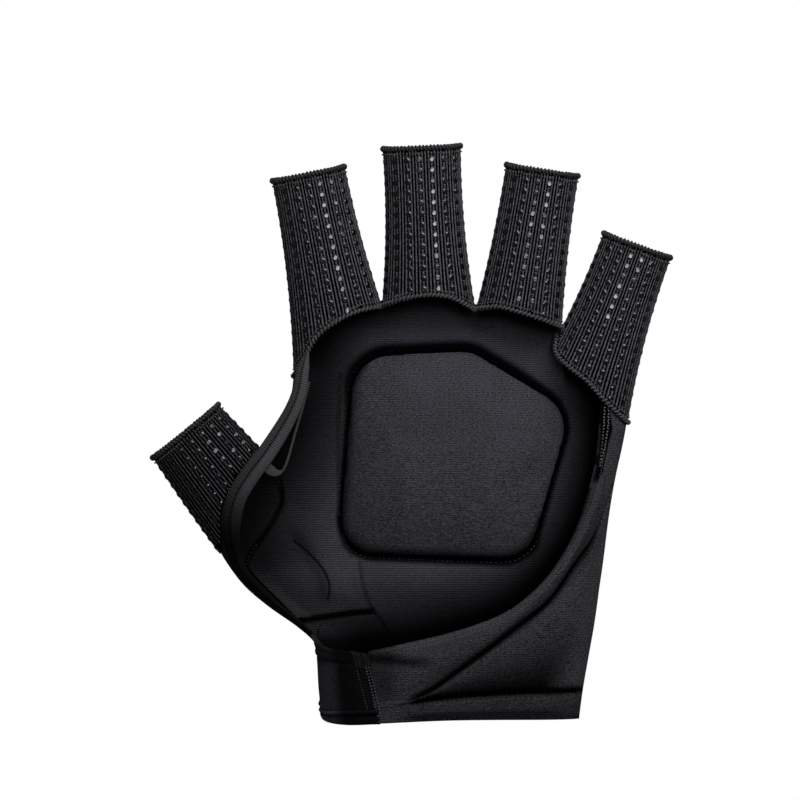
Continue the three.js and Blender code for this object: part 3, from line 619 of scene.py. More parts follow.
def shell_grid(rows, columns, lining):
    """One skin of the shell, its columns evenly spaced over the floor and both curls, and each point's
    place on the flat cloth."""
    u = np.linspace(0, 1, columns)[None, :]
    v = np.linspace(0, 1, rows)[:, None]
    girths = np.cumsum((0, CURL_GIRTH, FLOOR_GIRTH, CURL_GIRTH))
    q = 3 * u + 0 * v
    y = 0 * q
    # where a row ends depends on its column, and where a column starts on its row: a few rounds settle both
    for _ in range(5):
        top = shell_top(hand_point(q, np.maximum(y, LEVEL_Y), 0 * q)[..., 0])
        level = HEM_Y + (LEVEL_Y - HEM_Y) * v / LEVEL_SHARE
        fanned = LEVEL_Y + (top - LEVEL_Y) * (v - LEVEL_SHARE) / (1 - LEVEL_SHARE)
        y = np.where(v < LEVEL_SHARE, level, fanned)
        start = first_quarter(y)
        girth = np.interp(start, range(4), girths)
        q = np.interp(girth + (girths[-1] - girth) * u, girths, range(4))
    edge = np.minimum(ease(q / LIP_SHARE), ease((3 - q) / LIP_SHARE))
    wall = LIP_WALL + (SHELL_WALL - LIP_WALL) * edge * ease((top - y) / TAPER) * ease((y - HEM_Y) / TAPER)
    tuck = TUCK_DEPTH * ease(y - top + TUCK + 1.0)
    tuck += TUCK_DEPTH * ease((start > 0) * (1 - (q - start) / 0.12))
    if lining:
        flat = hand_point(q, y, wall)
        inset = np.maximum(wall - sewn_down(flat[..., 0], flat[..., 1]), LEAST_WALL + tuck)
    else:
        inset = np.minimum(tuck, TUCK_DEPTH)
    skin = hand_point(q, y, inset)
    x, y_there = skin[..., 0], skin[..., 1]
    # the lining carries painted shade, and the outside one even tone
    painted_shading = painted_lining_shade(x, y_there, sewn_down(x, y_there)) if lining else OUTSIDE_WEAR + 0 * q
    plain = hand_point(q, y, 0 * q)
    run = np.linalg.norm(np.diff(plain[..., (0, 2)], axis=1), axis=-1)
    run = np.concatenate([np.zeros((rows, 1)), np.cumsum(run, 1)], 1)
    middle = np.argmin(np.abs(q - 1.5), axis=1)
    run -= run[np.arange(rows), middle][:, None]
    return skin, np.stack([run, y, painted_shading], -1)


back_shell = walled("back_shell_padded", shell_grid, SHELL_ALONG, SHELL_ACROSS, lining_jersey)
finished(back_shell, "shell_foam", "back_shell")

# Pads of the lining
# Three foam cushions under the jersey: one under the palm, one beside the thumb and one at the heel of the
# hand. Each is sewn down round its edge, so it swells between its corners and sinks to its seam.
POCKET_FLOOR = 3.4
CUSHION_VOXEL = 1.3
CUSHION_FRAMES = 16
HELD_HEIGHT = 1.2


def shell_height(x, y, inset):
    """Height in plan of the shell's section at an inset, on its floor and its left curl."""
    left, _, _, lip, curl_left, _ = hand_at(y)
    reach = np.clip((left + curl_left - x) / (curl_left - inset), 0, 1)
    return lip - (lip - inset) * np.sqrt(1 - reach * reach)


def cushion_form(outline, base, height, rings):
    """A closed cushion over an outline: its rings run out from under its middle and over its top."""
    middle = outline.mean(0)
    count = len(outline)
    levels = []
    for size, rise in rings:
        xy = middle + (outline - middle) * size
        levels.append(np.column_stack([xy, shell_height(xy[:, 0], xy[:, 1], base) + rise * height]))
    rises = (rings[0][1], rings[-1][1])
    poles = [np.array([*middle, shell_height(*middle, base) + rise * height]) for rise in rises]
    points = np.vstack([*levels, *poles])
    faces = []
    for ring in range(len(rings) - 1):
        for i in range(count):
            a, b = ring * count + i, ring * count + (i + 1) % count
            faces.append((a, b, b + count, a + count))
    last = (len(rings) - 1) * count
    under, over = len(points) - 2, len(points) - 1
    for i in range(count):
        j = (i + 1) % count
        faces += [(under, j, i), (over, last + i, last + j)]
    return points, faces


def stuffed(piece, cap, pressure):
    """Swells a closed cushion like cloth over foam: remeshed, blown up a little with its underside held,
    and no point moved further than the cap."""
    modifier = piece.modifiers.new("even_mesh", "REMESH")
    modifier.mode = "VOXEL"
    modifier.voxel_size = CUSHION_VOXEL * MM
    modifier.use_smooth_shade = True
    baked(piece)
    mesh = piece.data
    start = places_in(mesh)
    sunk = start[:, 2] - shell_height(start[:, 0] / MM, start[:, 1] / MM, POCKET_FLOOR) * MM
    held = piece.vertex_groups.new(name="held")
    held.add([int(i) for i in np.nonzero(sunk < HELD_HEIGHT * MM)[0]], 1.0, "REPLACE")
    modifier = piece.modifiers.new("swelling", "CLOTH")
    settings = modifier.settings
    settings.quality = 6
    settings.mass = 0.2
    settings.use_pressure = True
    settings.uniform_pressure_force = pressure
    settings.tension_stiffness = 12
    settings.compression_stiffness = 12
    settings.bending_stiffness = 2
    settings.vertex_group_mass = "held"
    settings.effector_weights.gravity = 0
    modifier.collision_settings.use_self_collision = False
    modifier.point_cache.frame_start = 1
    modifier.point_cache.frame_end = CUSHION_FRAMES
    for moment in range(1, CUSHION_FRAMES + 1):
        bpy.context.scene.frame_set(moment)
    step = places_in(piece.evaluated_get(bpy.context.evaluated_depsgraph_get()).data) - start
    length = np.linalg.norm(step, axis=1, keepdims=True)
    step *= np.minimum(1, cap * MM / np.maximum(length, 1e-9))
    piece.modifiers.remove(modifier)
    mesh.vertices.foreach_set("co", (start + step).ravel())
    bpy.context.scene.frame_set(1)


def baked(piece):
    """Turns a piece's modifiers into its plain mesh."""
    bpy.context.view_layer.update()
    graph = bpy.context.evaluated_depsgraph_get()
    mesh = bpy.data.meshes.new_from_object(piece.evaluated_get(graph), depsgraph=graph)
    piece.modifiers.clear()
    piece.data = mesh
    return piece


def drawn_in(piece, outline, crown):
    """Finishes a swollen cushion: it is subdivided, a low one's upper side is drawn down level with the
    lining at its edge, the lining's folds are pressed in, and its cloth is laid out in plan with its painted
    shade."""
    modifier = piece.modifiers.new("finer", "SUBSURF")
    modifier.levels = 2 if crown else 1
    modifier.render_levels = modifier.levels
    baked(piece)
    mesh = piece.data
    at = places_in(mesh) / MM
    x, y = at[:, 0], at[:, 1]
    within = distance_to(outline, x, y, closed=True)
    if crown:
        folds = folded_in(x, y)
        lid = shell_height(x, y, SHELL_WALL) + 0.03 + crown * ease((within - 1.2) / 8) - folds
        at[:, 2] = np.minimum(at[:, 2], lid)
        painted_shading = painted_lining_shade(x, y, folds)
    else:
        # painted shade on the palm pad: darker down its flanks, fading in gradually at its left and wrist
        # edges and sharply at the others, and darker towards the wrist and the left
        soft_edge = np.maximum(ease((-2 - x) / 14) * ease((24 - y) / 8), ease((-22 - y) / 12))
        painted_shading = (0.72 + 0.28 * ease((y + 42) / 62)) * (1 - 0.2 * ease((2 - x) / 20))
        painted_shading *= 0.35 * soft_edge + (1 - 0.35 * soft_edge) * ease((within + 0.3) / (0.7 + 3.6 * soft_edge))
    mesh.vertices.foreach_set("co", (at * MM).ravel())
    with_vectors(mesh, "cloth", np.column_stack([x, y, painted_shading]))


# rings of a cushion from under to over: size as a share of its outline, and rise as a share of its height
PALM_RINGS = (
    (0.5, 0), (0.985, 0), (1.0, 0.12), (0.995, 0.4), (0.965, 0.62), (0.9, 0.8), (0.8, 0.9), (0.55, 1.0),
)
SMALL_RINGS = (
    (0.4, 0), (0.6, 0), (0.75, 0), (0.88, 0), (0.99, 0), (1.0, 0.5),
    (0.99, 1.0), (0.88, 1.0), (0.75, 1.0), (0.6, 1.0), (0.4, 1.0),
)
# the palm pad's cushion, a little wider on the right than its seam, which it hides there
PALM_CUSHION = ((-18.0, 24.3, 13), (18.5, 26.2, 12), (50.4, 7.0, 12), (36.8, -39.8, 12), (-23.2, -37.4, 11))
CUSHIONS = (
    # name, corners, margin, rings, height, crown, cap, pressure
    ("palm_pad", PALM_CUSHION, -0.35, PALM_RINGS, 4.9, 0, 1.7, 5.0),
    ("thumb_pad", THUMB_PAD, 1.1, SMALL_RINGS, 4.2, 0.8, 0.5, 3.0),
    ("heel_pad", HEEL_PAD, 1.1, SMALL_RINGS, 4.2, 0.8, 0.5, 3.0),
)
pad_jersey = jersey(
    "brushed_jersey_over_pad", "#09090b", "#5a5a62", courses=0.35, wales=0.1, grain=1.1, sheen=0.03
)
for name, corners, margin, rings, height, crown, cap, pressure in CUSHIONS:
    outline = evenly(rounded_outline(corners, margin=margin), 1.0, closed=True)
    points, faces = cushion_form(outline, POCKET_FLOOR, height, rings)
    cushion = closed_piece(name + "_cushion", points, faces, lining_jersey if crown else pad_jersey)
    stuffed(cushion, cap, pressure)
    drawn_in(cushion, outline, crown)
    finished(cushion, "lining_jersey", name)

# Heel panel
# A quilted panel over the heel of the hand: thin foam in jersey, joined to the shell along the
# little-finger side and overlocked along the palm opening. Two sewn channels, one level and one slanting,
# divide it into soft swells.
HEM_LINE = ((51.9, -88.3), (14, -88.5), (-9.9, -89.5))
LOW_CHANNEL = ((53.1, -79.5), (31.4, -80), (7.4, -81.9), (-11.2, -85.2))
SLANT_CHANNEL = (
    (62.6, -16.6), (57.6, -30.8), (50.9, -40.4), (42.7, -51.7),
    (31.4, -60.9), (17.5, -71.3), (2.6, -81.0), (-12.0, -82.6),
)
# A soft fold runs from the cuff seam below the palm edge. Beside the little finger's foot the panel is a
# black band with a sewn edge: the x at which its painted light starts, at rising y.
CUFF_FOLD = ((-16.0, -69.4), (-8.0, -70.0), (0.0, -70.9), (9.0, -71.0))
SEWN_BAND = (
    (-15.3, 57.0), (-11.7, 58.6), (-8.5, 59.6), (-5.0, 60.6), (-1.2, 61.6), (1.2, 62.3), (4.3, 62.8),
)
HEEL_WALL = 2.8
HEEL_ACROSS = 240
HEEL_ALONG = 220
# painted light and shade between its lines, dark in the channels and at the hem and light on the swells: the
# hem is 0, the channels are 1 and 2, the palm's edge is 3
PANEL_PAINTED_SHADING = np.array([
    # line, painted shading
    (0.0, 0.2), (0.25, 0.55), (0.8, 0.75), (0.94, 0.3), (1.0, 0.0), (1.1, 0.12), (1.35, 0.6), (1.8, 0.95),
    (1.95, 0.5), (2.0, 0.1), (2.08, 0.4), (2.35, 0.72), (2.7, 0.98), (3.0, 1.0),
])


def palm_quarter(x, y):
    """The section's q of a point on the palm side, from its place in plan."""
    left, right, _, _, curl_left, curl_right = hand_at(y)
    inner_left, inner_right = left + curl_left, right - curl_right
    on_right = 3 + np.arccos(np.clip((x - inner_right) / curl_right, 0, 1)) / (math.pi / 2)
    on_palm = 4 + (inner_right - x) / (inner_right - inner_left)
    on_left = 5 + np.arcsin(np.clip((inner_left - x) / curl_left, 0, 1)) / (math.pi / 2)
    return np.where(x > inner_right, on_right, np.where(x > inner_left, on_palm, on_left))


def panel_dip(y):
    """How far the panel's end dips to meet the little finger's sleeve."""
    return 1.7 * ease((y - 1) / 5)


def panel_grid(rows, columns, quilted):
    """One skin of the heel panel, and each point's place on the flat cloth. Its outer side meets the
    shell's edge."""
    lines = []
    for points in (HEM_LINE, LOW_CHANNEL, SLANT_CHANNEL, PALM_EDGE):
        fine_line = curve_through(points, 0.2)
        lines.append(fine_line[np.linspace(0, len(fine_line) - 1, columns).round().astype(int)])
    # v counts the lines from 0 at the hem to 3 at the palm's edge, and u runs from the side to the cuff
    v = np.linspace(0, 3, rows)[:, None, None]
    part = np.minimum(np.floor(v), 2).astype(int)
    stack = np.array(lines)
    low = stack[part[:, 0, 0]]
    high = stack[part[:, 0, 0] + 1]
    xy = low + (high - low) * (v - part)
    x, y = xy[..., 0], xy[..., 1]
    u = np.linspace(0, 1, columns)[None, :] + 0 * x
    x = x + (hand_at(y)[1] - x)[:, :1] * (1 - ease(u / 0.1))
    q = np.maximum(palm_quarter(x, y), 3.0)
    if not quilted:
        return hand_point(q, y, HEEL_WALL + 0 * q), np.dstack([x, y, 0.5 + 0 * x])
    # the channels, which end short of the cuff and of the side
    level = v[..., 0] + 0 * x
    open_end = 1 - ease((u - 0.78) / 0.14)
    low_reach = 0.8 + 0.25 * np.sin(2 * math.pi * x / 1.5)
    slant_reach = 0.42 + 0.36 * ease((u - 0.1) / 0.5)
    near_low = bell(distance_to(lines[1], x, y) / low_reach)
    near_low *= (1 - ease((u - 0.8) / 0.06)) * ease(u / 0.03)
    near_slant = bell(distance_to(lines[2], x, y) / slant_reach)
    near_slant *= (1 - ease((u - 0.85) / 0.05)) * ease(u / 0.05)
    channels = np.maximum(near_low, near_slant)
    # the foam swells between the channels, and sinks in them and in the cuff's fold
    fold = bell(distance_to(curve_through(CUFF_FOLD, 1.0), x, y) / 1.7) * (1 - ease(x / 10))
    swell = ease(level / 0.35) * ease((3 - level) / 0.18) * ease((level % 1) / 0.45)
    swell *= open_end * ease((u - 0.03) / 0.15)
    inset = -1.3 * swell + 2.6 * channels + 0.9 * fold
    inset = np.where(level > 2.9, inset + 0.5 * ease((level - 2.9) / 0.1), inset) + panel_dip(y)
    skin = hand_point(q, y, np.minimum(inset, HEEL_WALL - 0.5))
    # painted light greys the swells and the side; painted shade leaves the channels, the fold and the black
    # band dark, and darkens the panel towards the cuff seam
    quilted_shading = np.interp(level, PANEL_PAINTED_SHADING[:, 0], PANEL_PAINTED_SHADING[:, 1])
    painted_side_light = 1 - ease((u - 0.02) / 0.2)
    painted_side_light *= ease((level - 1.01) / 0.02)
    painted_shading = quilted_shading + (1.05 - quilted_shading) * np.maximum(painted_side_light, 0.6 * (1 - open_end))
    by_cuff = 1 - 0.55 * ease((-1 - x) / 7) * ease((y + 86) / 8)
    band_x = np.interp(y, *np.array(SEWN_BAND).T)
    off_band = np.maximum(ease((x - band_x + 0.3) / 0.7), y < -15.3)
    painted_shading *= (1 - channels) * (1 - 0.75 * fold) * by_cuff * off_band
    return skin, np.dstack([x, y, painted_shading])


panel_jersey = jersey(
    "double_knit_jersey_panel", "#050505", "#504e54", courses=0.45, wales=0.25, grain=1.3, sheen=0.02
)
heel_panel = walled("heel_panel_quilted", panel_grid, HEEL_ALONG, HEEL_ACROSS, panel_jersey)
finished(heel_panel, "panel_jersey", "heel_panel")

# Wrist gusset
# A stretch insert that closes the wrist on the thumb side, smooth and a little shiny, with a sheen down its
# side painted into its colour. It is gathered where its top corner meets the cuff seam, and its lower edge
# is turned up into a hem.
GUSSET_TOP = ((0, -67.8), (0.5, -66.6), (1, -64.8))
GUSSET_FOOT = ((0, -89.7), (0.35, -90.0), (0.7, -89.4), (1, -88.2))
GUSSET_FOLD = ((0, -84.9), (0.35, -85.3), (0.7, -85.7), (1, -84.6))
CUFF_SEAM = ((-92, -10.0), (-66, -14.2))
BESIDE_SEAM = 0.9
# the section's q where the gusset ends at the shell's lip
GUSSET_END = 5.98
GUSSET_GIRTH = 30.0
GUSSET_ACROSS = 120
GUSSET_ALONG = 48


def gusset_skin(rows, columns, outer, top, foot, outer_inset, wall):
    """One skin of a piece of the gusset, from the cuff seam round to the side and from foot to top: the
    outer one with its form, or the inner one a wall below."""
    u = np.linspace(0, 1, columns)[None, :]
    v = np.linspace(0, 1, rows)[:, None]
    foot_y = smooth(u, *np.array(foot).T)
    y = foot_y + (smooth(u, *np.array(top).T) - foot_y) * v
    start = palm_quarter(np.interp(y, *np.array(CUFF_SEAM).T) + BESIDE_SEAM, y)
    q = start + (GUSSET_END - start) * u
    # painted sheen down the gusset's side: lighter and glossier in the middle of the side, dark by the cuff
    # seam, dimmer at the lip and towards its top
    painted_side_light = 0.88 * ease((u - 0.36) / 0.24) * (1 - 0.4 * ease((u - 0.75) / 0.25))
    lit = 0.12 + painted_side_light * (1 - 0.7 * ease((y + 72.5) / 3))
    inset = outer_inset(u, v) if outer else wall + 0 * (u + v)
    return hand_point(q, y, inset), np.dstack([GUSSET_GIRTH * u + 0 * v, y, lit])


def gathers(u, v):
    """Small pleats by the cuff seam's top, two rolls at the side, and the knot where the hem is turned."""
    pleats = 0.28 * np.sin(u * 95) * ease((0.3 - u) / 0.25) * ease((v - 0.6) / 0.3)
    rolls = 0.35 * bell((v - 0.965) / 0.045) + 0.6 * bell((v - 0.865) / 0.055)
    knot = 0.6 * bell((v - 0.045) / 0.04) * ease((u - 0.7) / 0.2)
    crease = 0.5 * bell((v - 0.79) / 0.02) * ease((u - 0.15) / 0.2)
    return pleats - rolls * ease((u - 0.25) / 0.4) - knot + crease


def hem_swell(u, v):
    """The hem's soft roll, and the piped fold along its upper edge, where v is 1."""
    below = 1 - v
    piping = 0.6 * bell((below - 0.2) / 0.12) - 0.9 * bell((below - 0.44) / 0.07)
    return -0.5 * np.sin(np.pi * v) ** 0.5 - piping * (1 - 0.6 * ease((u - 0.88) / 0.12))


# Nylon and elastane tricot: black and smooth, with a broad sheen painted into its colour and gloss where the
# third part of its cloth's place is high. Its wales lie 0.6 mm apart here, coarser than the real ones.
TRICOT_WALE = 0.6
elastic, tree = new_material("nylon_elastane_tricot")
cloth_at = add(tree, "ShaderNodeAttribute", attribute_name="cloth").outputs["Vector"]
place = add(tree, "ShaderNodeSeparateXYZ", cloth_at)
wales = add(tree, "ShaderNodeMath", place, 2 * math.pi / TRICOT_WALE, operation="MULTIPLY")
ribs = add(tree, "ShaderNodeMath", wales, operation="SINE")
cloud = add(tree, "ShaderNodeTexNoise", {"Vector": cloth_at, "Scale": 0.9, "Detail": 3.0})
relief = add(tree, "ShaderNodeMath", ribs, 0.3, cloud, operation="MULTIPLY_ADD")
painted_sheen = add(tree, "ShaderNodeMath", relief, place.outputs[2], operation="MULTIPLY")
gloss_under_painted_light = add(tree, "ShaderNodeMath", place.outputs[2], 0.25, operation="MULTIPLY")
dyes = {COLOUR_A: linear("#020202"), COLOUR_B: linear("#44444d")}
dye = add(tree, "ShaderNodeMix", painted_sheen, dyes, data_type="RGBA")
tricot_finish = {"Base Color": dye.outputs[MIXED], "Roughness": 0.6, "Specular IOR Level": gloss_under_painted_light}
surface(tree, relief, 0.5, 0.05, tricot_finish)

GUSSET_PIECES = (
    # name, top, foot, form of its outer skin, wall
    ("wrist_gusset", GUSSET_TOP, GUSSET_FOLD, gathers, 1.5),
    ("gusset_hem", GUSSET_FOLD, GUSSET_FOOT, hem_swell, 2.3),
)
for name, top, foot, outer_inset, wall in GUSSET_PIECES:

    def skin_at(rows, columns, outer):
        """One skin of this piece."""
        return gusset_skin(rows, columns, outer, top, foot, outer_inset, wall)

    gusset = walled(name + "_elastic", skin_at, GUSSET_ALONG, GUSSET_ACROSS, elastic)
    finished(gusset, "elastic", name)

# Web binding
# A folded elastic binding sewn round the thumb side of the palm opening, from the index finger's foot to
# the wrist. A row of stitching down its middle parts it into two strips, and it narrows to a piped edge
# below the thumb.
BINDING = np.array([
    # x, y, height, width
    (-32.0, 25.4, 16.8, 0.9),
    (-32.8, 22.8, 17.6, 2.7),
    (-33.6, 19.4, 18.2, 4.0),
    (-34.6, 13.2, 18.6, 4.4),
    (-36.8, 7.2, 18.4, 4.8),
    (-40.6, 0.4, 17.8, 5.4),
    (-45.2, -6.6, 17.4, 5.8),
    (-50.3, -13.4, 17.0, 6.2),
    (-54.2, -20.2, 16.4, 6.2),
    (-55.9, -27.6, 14.8, 6.2),
    (-55.4, -34.6, 12.4, 5.0),
    (-53.4, -41.2, 10.6, 3.6),
    (-49.2, -46.6, 10.8, 3.0),
    (-42.7, -52.6, 11.8, 2.5),
    (-35.6, -58.1, 13.2, 1.8),
    (-30.9, -62.1, 14.8, 1.4),
])
BINDING_THICK = 2.1
BINDING_STEP = 0.5
# the row of stitching lies this share of the half width right of the middle
STITCHED_AT = 0.12


def swept(path, half_widths, half_thicks, section):
    """Rings of a band that lies flat along a path: section gives its outline as shares across and up."""
    along = np.gradient(path, axis=0)
    along /= np.linalg.norm(along, axis=1, keepdims=True)
    across = np.stack([along[:, 1], -along[:, 0], 0 * along[:, 0]], -1)
    across /= np.linalg.norm(across, axis=1, keepdims=True)
    up = np.cross(across, along)
    sideways = across[:, None] * (half_widths[:, None] * section[:, 0])[..., None]
    return path[:, None] + sideways + up[:, None] * (half_thicks[:, None] * section[:, 1])[..., None]


def tube_faces(rows, columns, closed_rows=False):
    """Faces of a tube of rings, with flat ends unless its rows join up."""
    last = rows if closed_rows else rows - 1
    row, column = np.meshgrid(np.arange(last), np.arange(columns), indexing="ij")
    a = (row * columns + column).ravel()
    b = (row * columns + (column + 1) % columns).ravel()
    c = ((row + 1) % rows * columns + (column + 1) % columns).ravel()
    d = ((row + 1) % rows * columns + column).ravel()
    faces = np.stack([a, b, c, d], -1).tolist()
    if not closed_rows:
        faces.append(list(range(columns))[::-1])
        faces.append([(rows - 1) * columns + i for i in range(columns)])
    return faces


def flattened(angles, across_power, up_power):
    """Shares across and up on a round section pressed towards a box: the lower the powers, the squarer."""
    cos, sin = np.cos(angles), np.sin(angles)
    return np.sign(cos) * np.abs(cos) ** across_power, np.sign(sin) * np.abs(sin) ** up_power


angle = np.linspace(0, 2 * math.pi, 72, endpoint=False)
across_share, up_share = flattened(angle, 0.75, 1.0)
groove = bell((across_share - STITCHED_AT) / 0.09) * (up_share > 0)
section = np.stack([across_share, up_share * np.where(up_share > 0, 1 - 0.9 * groove, 1)], -1)
path = curve_through(BINDING, BINDING_STEP)
rings = swept(path[:, :3], path[:, 3] / 2, np.full(len(path), BINDING_THICK / 2), section)
run = np.arange(len(path))[:, None] * BINDING_STEP + 0 * angle[None]
# painted light and shade on the binding: its upper half is painted grey as lit and its lower half dark as
# shadow, its stitched groove is painted dark as shade, and the strip on the right of its stitches is darker
upper = 0.06 + 0.94 * ease((path[:, 1:2] + 35) / 31)
painted_shading = upper * (1 - groove) * np.where(across_share > STITCHED_AT, 0.62, 1.0)
cloth = np.dstack([across_share[None] * path[:, 3:4] / 2, run, painted_shading])
# Folded nylon binding: dull charcoal black, with the fine cross ribs that elastic has
binding_nylon = jersey(
    "ribbed_elastic_binding", "#101012", "#626265", courses=0.7, wales=0.0, grain=0.3, sheen=0.03
)
binding = closed_piece("web_binding_folded", rings, tube_faces(*rings.shape[:2]), binding_nylon, cloth)
finished(binding, "binding_tape", "web_binding")

# Web tape
# A narrow grey elastic tape inside the web of the thumb. It stands on its edge, and its free end curls back
# under the binding, where it turns over and shows its face.
WEB_TAPE = (
    (-31.6, 16.0), (-32.7, 11.6), (-33.9, 7.0), (-35.4, 2.0), (-36.9, -3.4), (-38.4, -8.6), (-39.9, -11.6),
    (-42.0, -12.2), (-44.6, -10.6),
)
TAPE_BOTTOM = 12.4
TAPE_TALL = 4.2
TAPE_THICK = 0.9
TAPE_STEP = 0.4
# the run along the tape at which its end starts to turn over, and how far it takes
TURNS_AT = 29
TURNS_IN = 4
path = curve_through(WEB_TAPE, TAPE_STEP)
path = np.column_stack([path, np.full(len(path), TAPE_BOTTOM + TAPE_TALL / 2)])
angle = np.linspace(0, 2 * math.pi, 24, endpoint=False)
across_share, up_share = flattened(angle, 0.5, 0.4)
section = np.stack([across_share, up_share], -1)
turned = ease((np.arange(len(path)) * TAPE_STEP - TURNS_AT) / TURNS_IN)
half_widths = TAPE_THICK / 2 + 1.1 * turned
half_thicks = TAPE_TALL / 2 * (1 - 0.75 * turned)
path[:, 2] += (TAPE_TALL / 2 - half_thicks) * 0.9
rings = swept(path, half_widths, half_thicks, section)
run = np.arange(len(path))[:, None] * TAPE_STEP + 0 * angle[None]
cloth = np.dstack([up_share[None] * TAPE_TALL / 2 + 0 * run, run, 1 + 0 * run])
# Woven polyester tape: mid grey, dull, with a fine cross weave
tape_weave = jersey(
    "woven_grey_tape", "#2d2f2e", "#4b4d4b", courses=0.3, wales=0.0, grain=0.2, sheen=0.0
)
web_tape = closed_piece("web_tape_curled", rings, tube_faces(*rings.shape[:2]), tape_weave, cloth)
finished(web_tape, "grey_tape", "web_tape")

# Finger and thumb sleeves
# Half-finger sleeves of ribbed knit, each a tube of 64 wales. In each repeat of four wales one rib is
# plain. The other three part round a row of dots, where the middle one is broken. Nodes raise the ribs on
# the sleeve's smooth tube.
WALES = 64
WALES_IN_REPEAT = 4
MIDDLE_WALE = 2.5
POINTS_PER_WALE = 5
WALE_WIDTH = 1.0
ROW_STEP = 0.55
INNER_ROWS = 8
RIB_HEIGHT = 0.5
RIDGE_POWER = 2.4
DOT_PITCH = 3.35
FIRST_DOT = 2.0
# round each dot the knit sinks into a well, from the first radius to the second, inside a raised collar
WELL_RADII = (0.75, 1.0)
COLLAR_RADIUS = 1.15
COLLAR_HALF_WIDTH = 0.15
COLLAR_RISE = 0.55
# how far the knit goes up under the rolled edge of its opening
TIP_OVERLAP = 1.6
# this brings one column of dots a little left of the top's middle
COLUMN_SHIFT = 1.0
SECTION_POWER = 2 / 2.3
HEIGHT_HALFWAY = 15.5
# the thumb's knit is stretched further than the fingers', so its ribs lie flatter, and its knit is painted
# darker as shade
THUMB_CREST_AND_SHADE = 0.72


def round_section(angles):
    """Across and up on a sleeve's flattened round section."""
    return flattened(angles, SECTION_POWER, SECTION_POWER)


def section_angles(name, count):
    """Angles that share out a sleeve's girth evenly, from near the middle of its underside."""
    fine = np.linspace(-math.pi / 2, math.pi * 1.5, 2001)
    across, up = round_section(fine)
    steps = np.hypot(np.diff(across) * SLEEVES[name][4] / 2, np.diff(up) * HEIGHT_HALFWAY / 2)
    girth = np.concatenate([[0], np.cumsum(steps)])
    return np.interp(np.arange(count) / count * girth[-1] + COLUMN_SHIFT, girth, fine)


def sleeve_point(name, angles, down, inset):
    """A point of a sleeve's wall, at a depth below its tip."""
    across, up = round_section(angles)
    tip_height, foot_height = SLEEVES[name][7:9]
    height = tip_height + (foot_height - tip_height) * down / (2 * WIDTH_STEP)
    half = (height + SLEEVE_SINK) / 2
    z = np.maximum(height - half + up * (half - inset), inset)
    return sleeve_place(name, down, across * (sleeve_width(name, down) / 2 - inset), z)


def knit_profile(tree, cloth):
    """The knit's height, from 0 to 1, at its place: wales counted across, and millimetres below the tip."""
    place = add(tree, "ShaderNodeSeparateXYZ", cloth)
    in_wale = add(tree, "ShaderNodeMath", place, 1.0, 0.0, operation="WRAP")
    off_ridge = add(tree, "ShaderNodeMath", in_wale, 2.0, -1.0, operation="MULTIPLY_ADD")
    off_squared = add(tree, "ShaderNodeMath", off_ridge, off_ridge, operation="MULTIPLY")
    fallen = add(tree, "ShaderNodeMath", 1.0, off_squared, operation="SUBTRACT")
    ridge = add(tree, "ShaderNodeMath", fallen, RIDGE_POWER, operation="POWER")
    in_repeat = add(tree, "ShaderNodeMath", place, WALES_IN_REPEAT, 0.0, operation="WRAP")
    wales_off = add(tree, "ShaderNodeMath", in_repeat, MIDDLE_WALE, operation="SUBTRACT")
    aside = add(tree, "ShaderNodeMath", wales_off, WALE_WIDTH, operation="MULTIPLY")
    from_first = add(tree, "ShaderNodeMath", place.outputs[1], FIRST_DOT, operation="SUBTRACT")
    past_dot = add(tree, "ShaderNodeMath", from_first, DOT_PITCH / 2, -DOT_PITCH / 2, operation="WRAP")
    from_dot = add(tree, "ShaderNodeCombineXYZ", aside, past_dot)
    away = add(tree, "ShaderNodeVectorMath", from_dot, operation="LENGTH").outputs["Value"]
    well = add(tree, "ShaderNodeMapRange", away, *WELL_RADII, interpolation_type="SMOOTHSTEP")
    on_collar = add(tree, "ShaderNodeMath", away, COLLAR_RADIUS, COLLAR_HALF_WIDTH, operation="COMPARE")
    collar = add(tree, "ShaderNodeMath", on_collar, COLLAR_RISE, operation="MULTIPLY")
    joined = add(tree, "ShaderNodeMath", ridge, collar, operation="MAXIMUM")
    return add(tree, "ShaderNodeMath", joined, well, operation="MULTIPLY")


# Textured polyester yarn in a rib knit. Its colour is painted black in the grooves as shade and grey on the
# crests of the ribs as light, with gloss on the crests, and darker where the third part of its cloth's place
# is lower. Its loops stand 0.62 mm apart, coarser than the real ones so that they show.
LOOP_PITCH = 0.62
rib_yarn, tree = new_material("ribbed_polyester_knit")
cloth_at = add(tree, "ShaderNodeAttribute", attribute_name="cloth").outputs["Vector"]
profile = knit_profile(tree, cloth_at)
place = add(tree, "ShaderNodeSeparateXYZ", cloth_at)
loops = add(tree, "ShaderNodeMath", place.outputs[1], 2 * math.pi / LOOP_PITCH, operation="MULTIPLY")
loop_wave = add(tree, "ShaderNodeMath", loops, operation="SINE")
fuzz = add(tree, "ShaderNodeTexNoise", {"Vector": cloth_at, "Scale": 1.4, "Detail": 3.0, "Roughness": 0.7})
relief = add(tree, "ShaderNodeMath", loop_wave, 0.08, fuzz, operation="MULTIPLY_ADD")
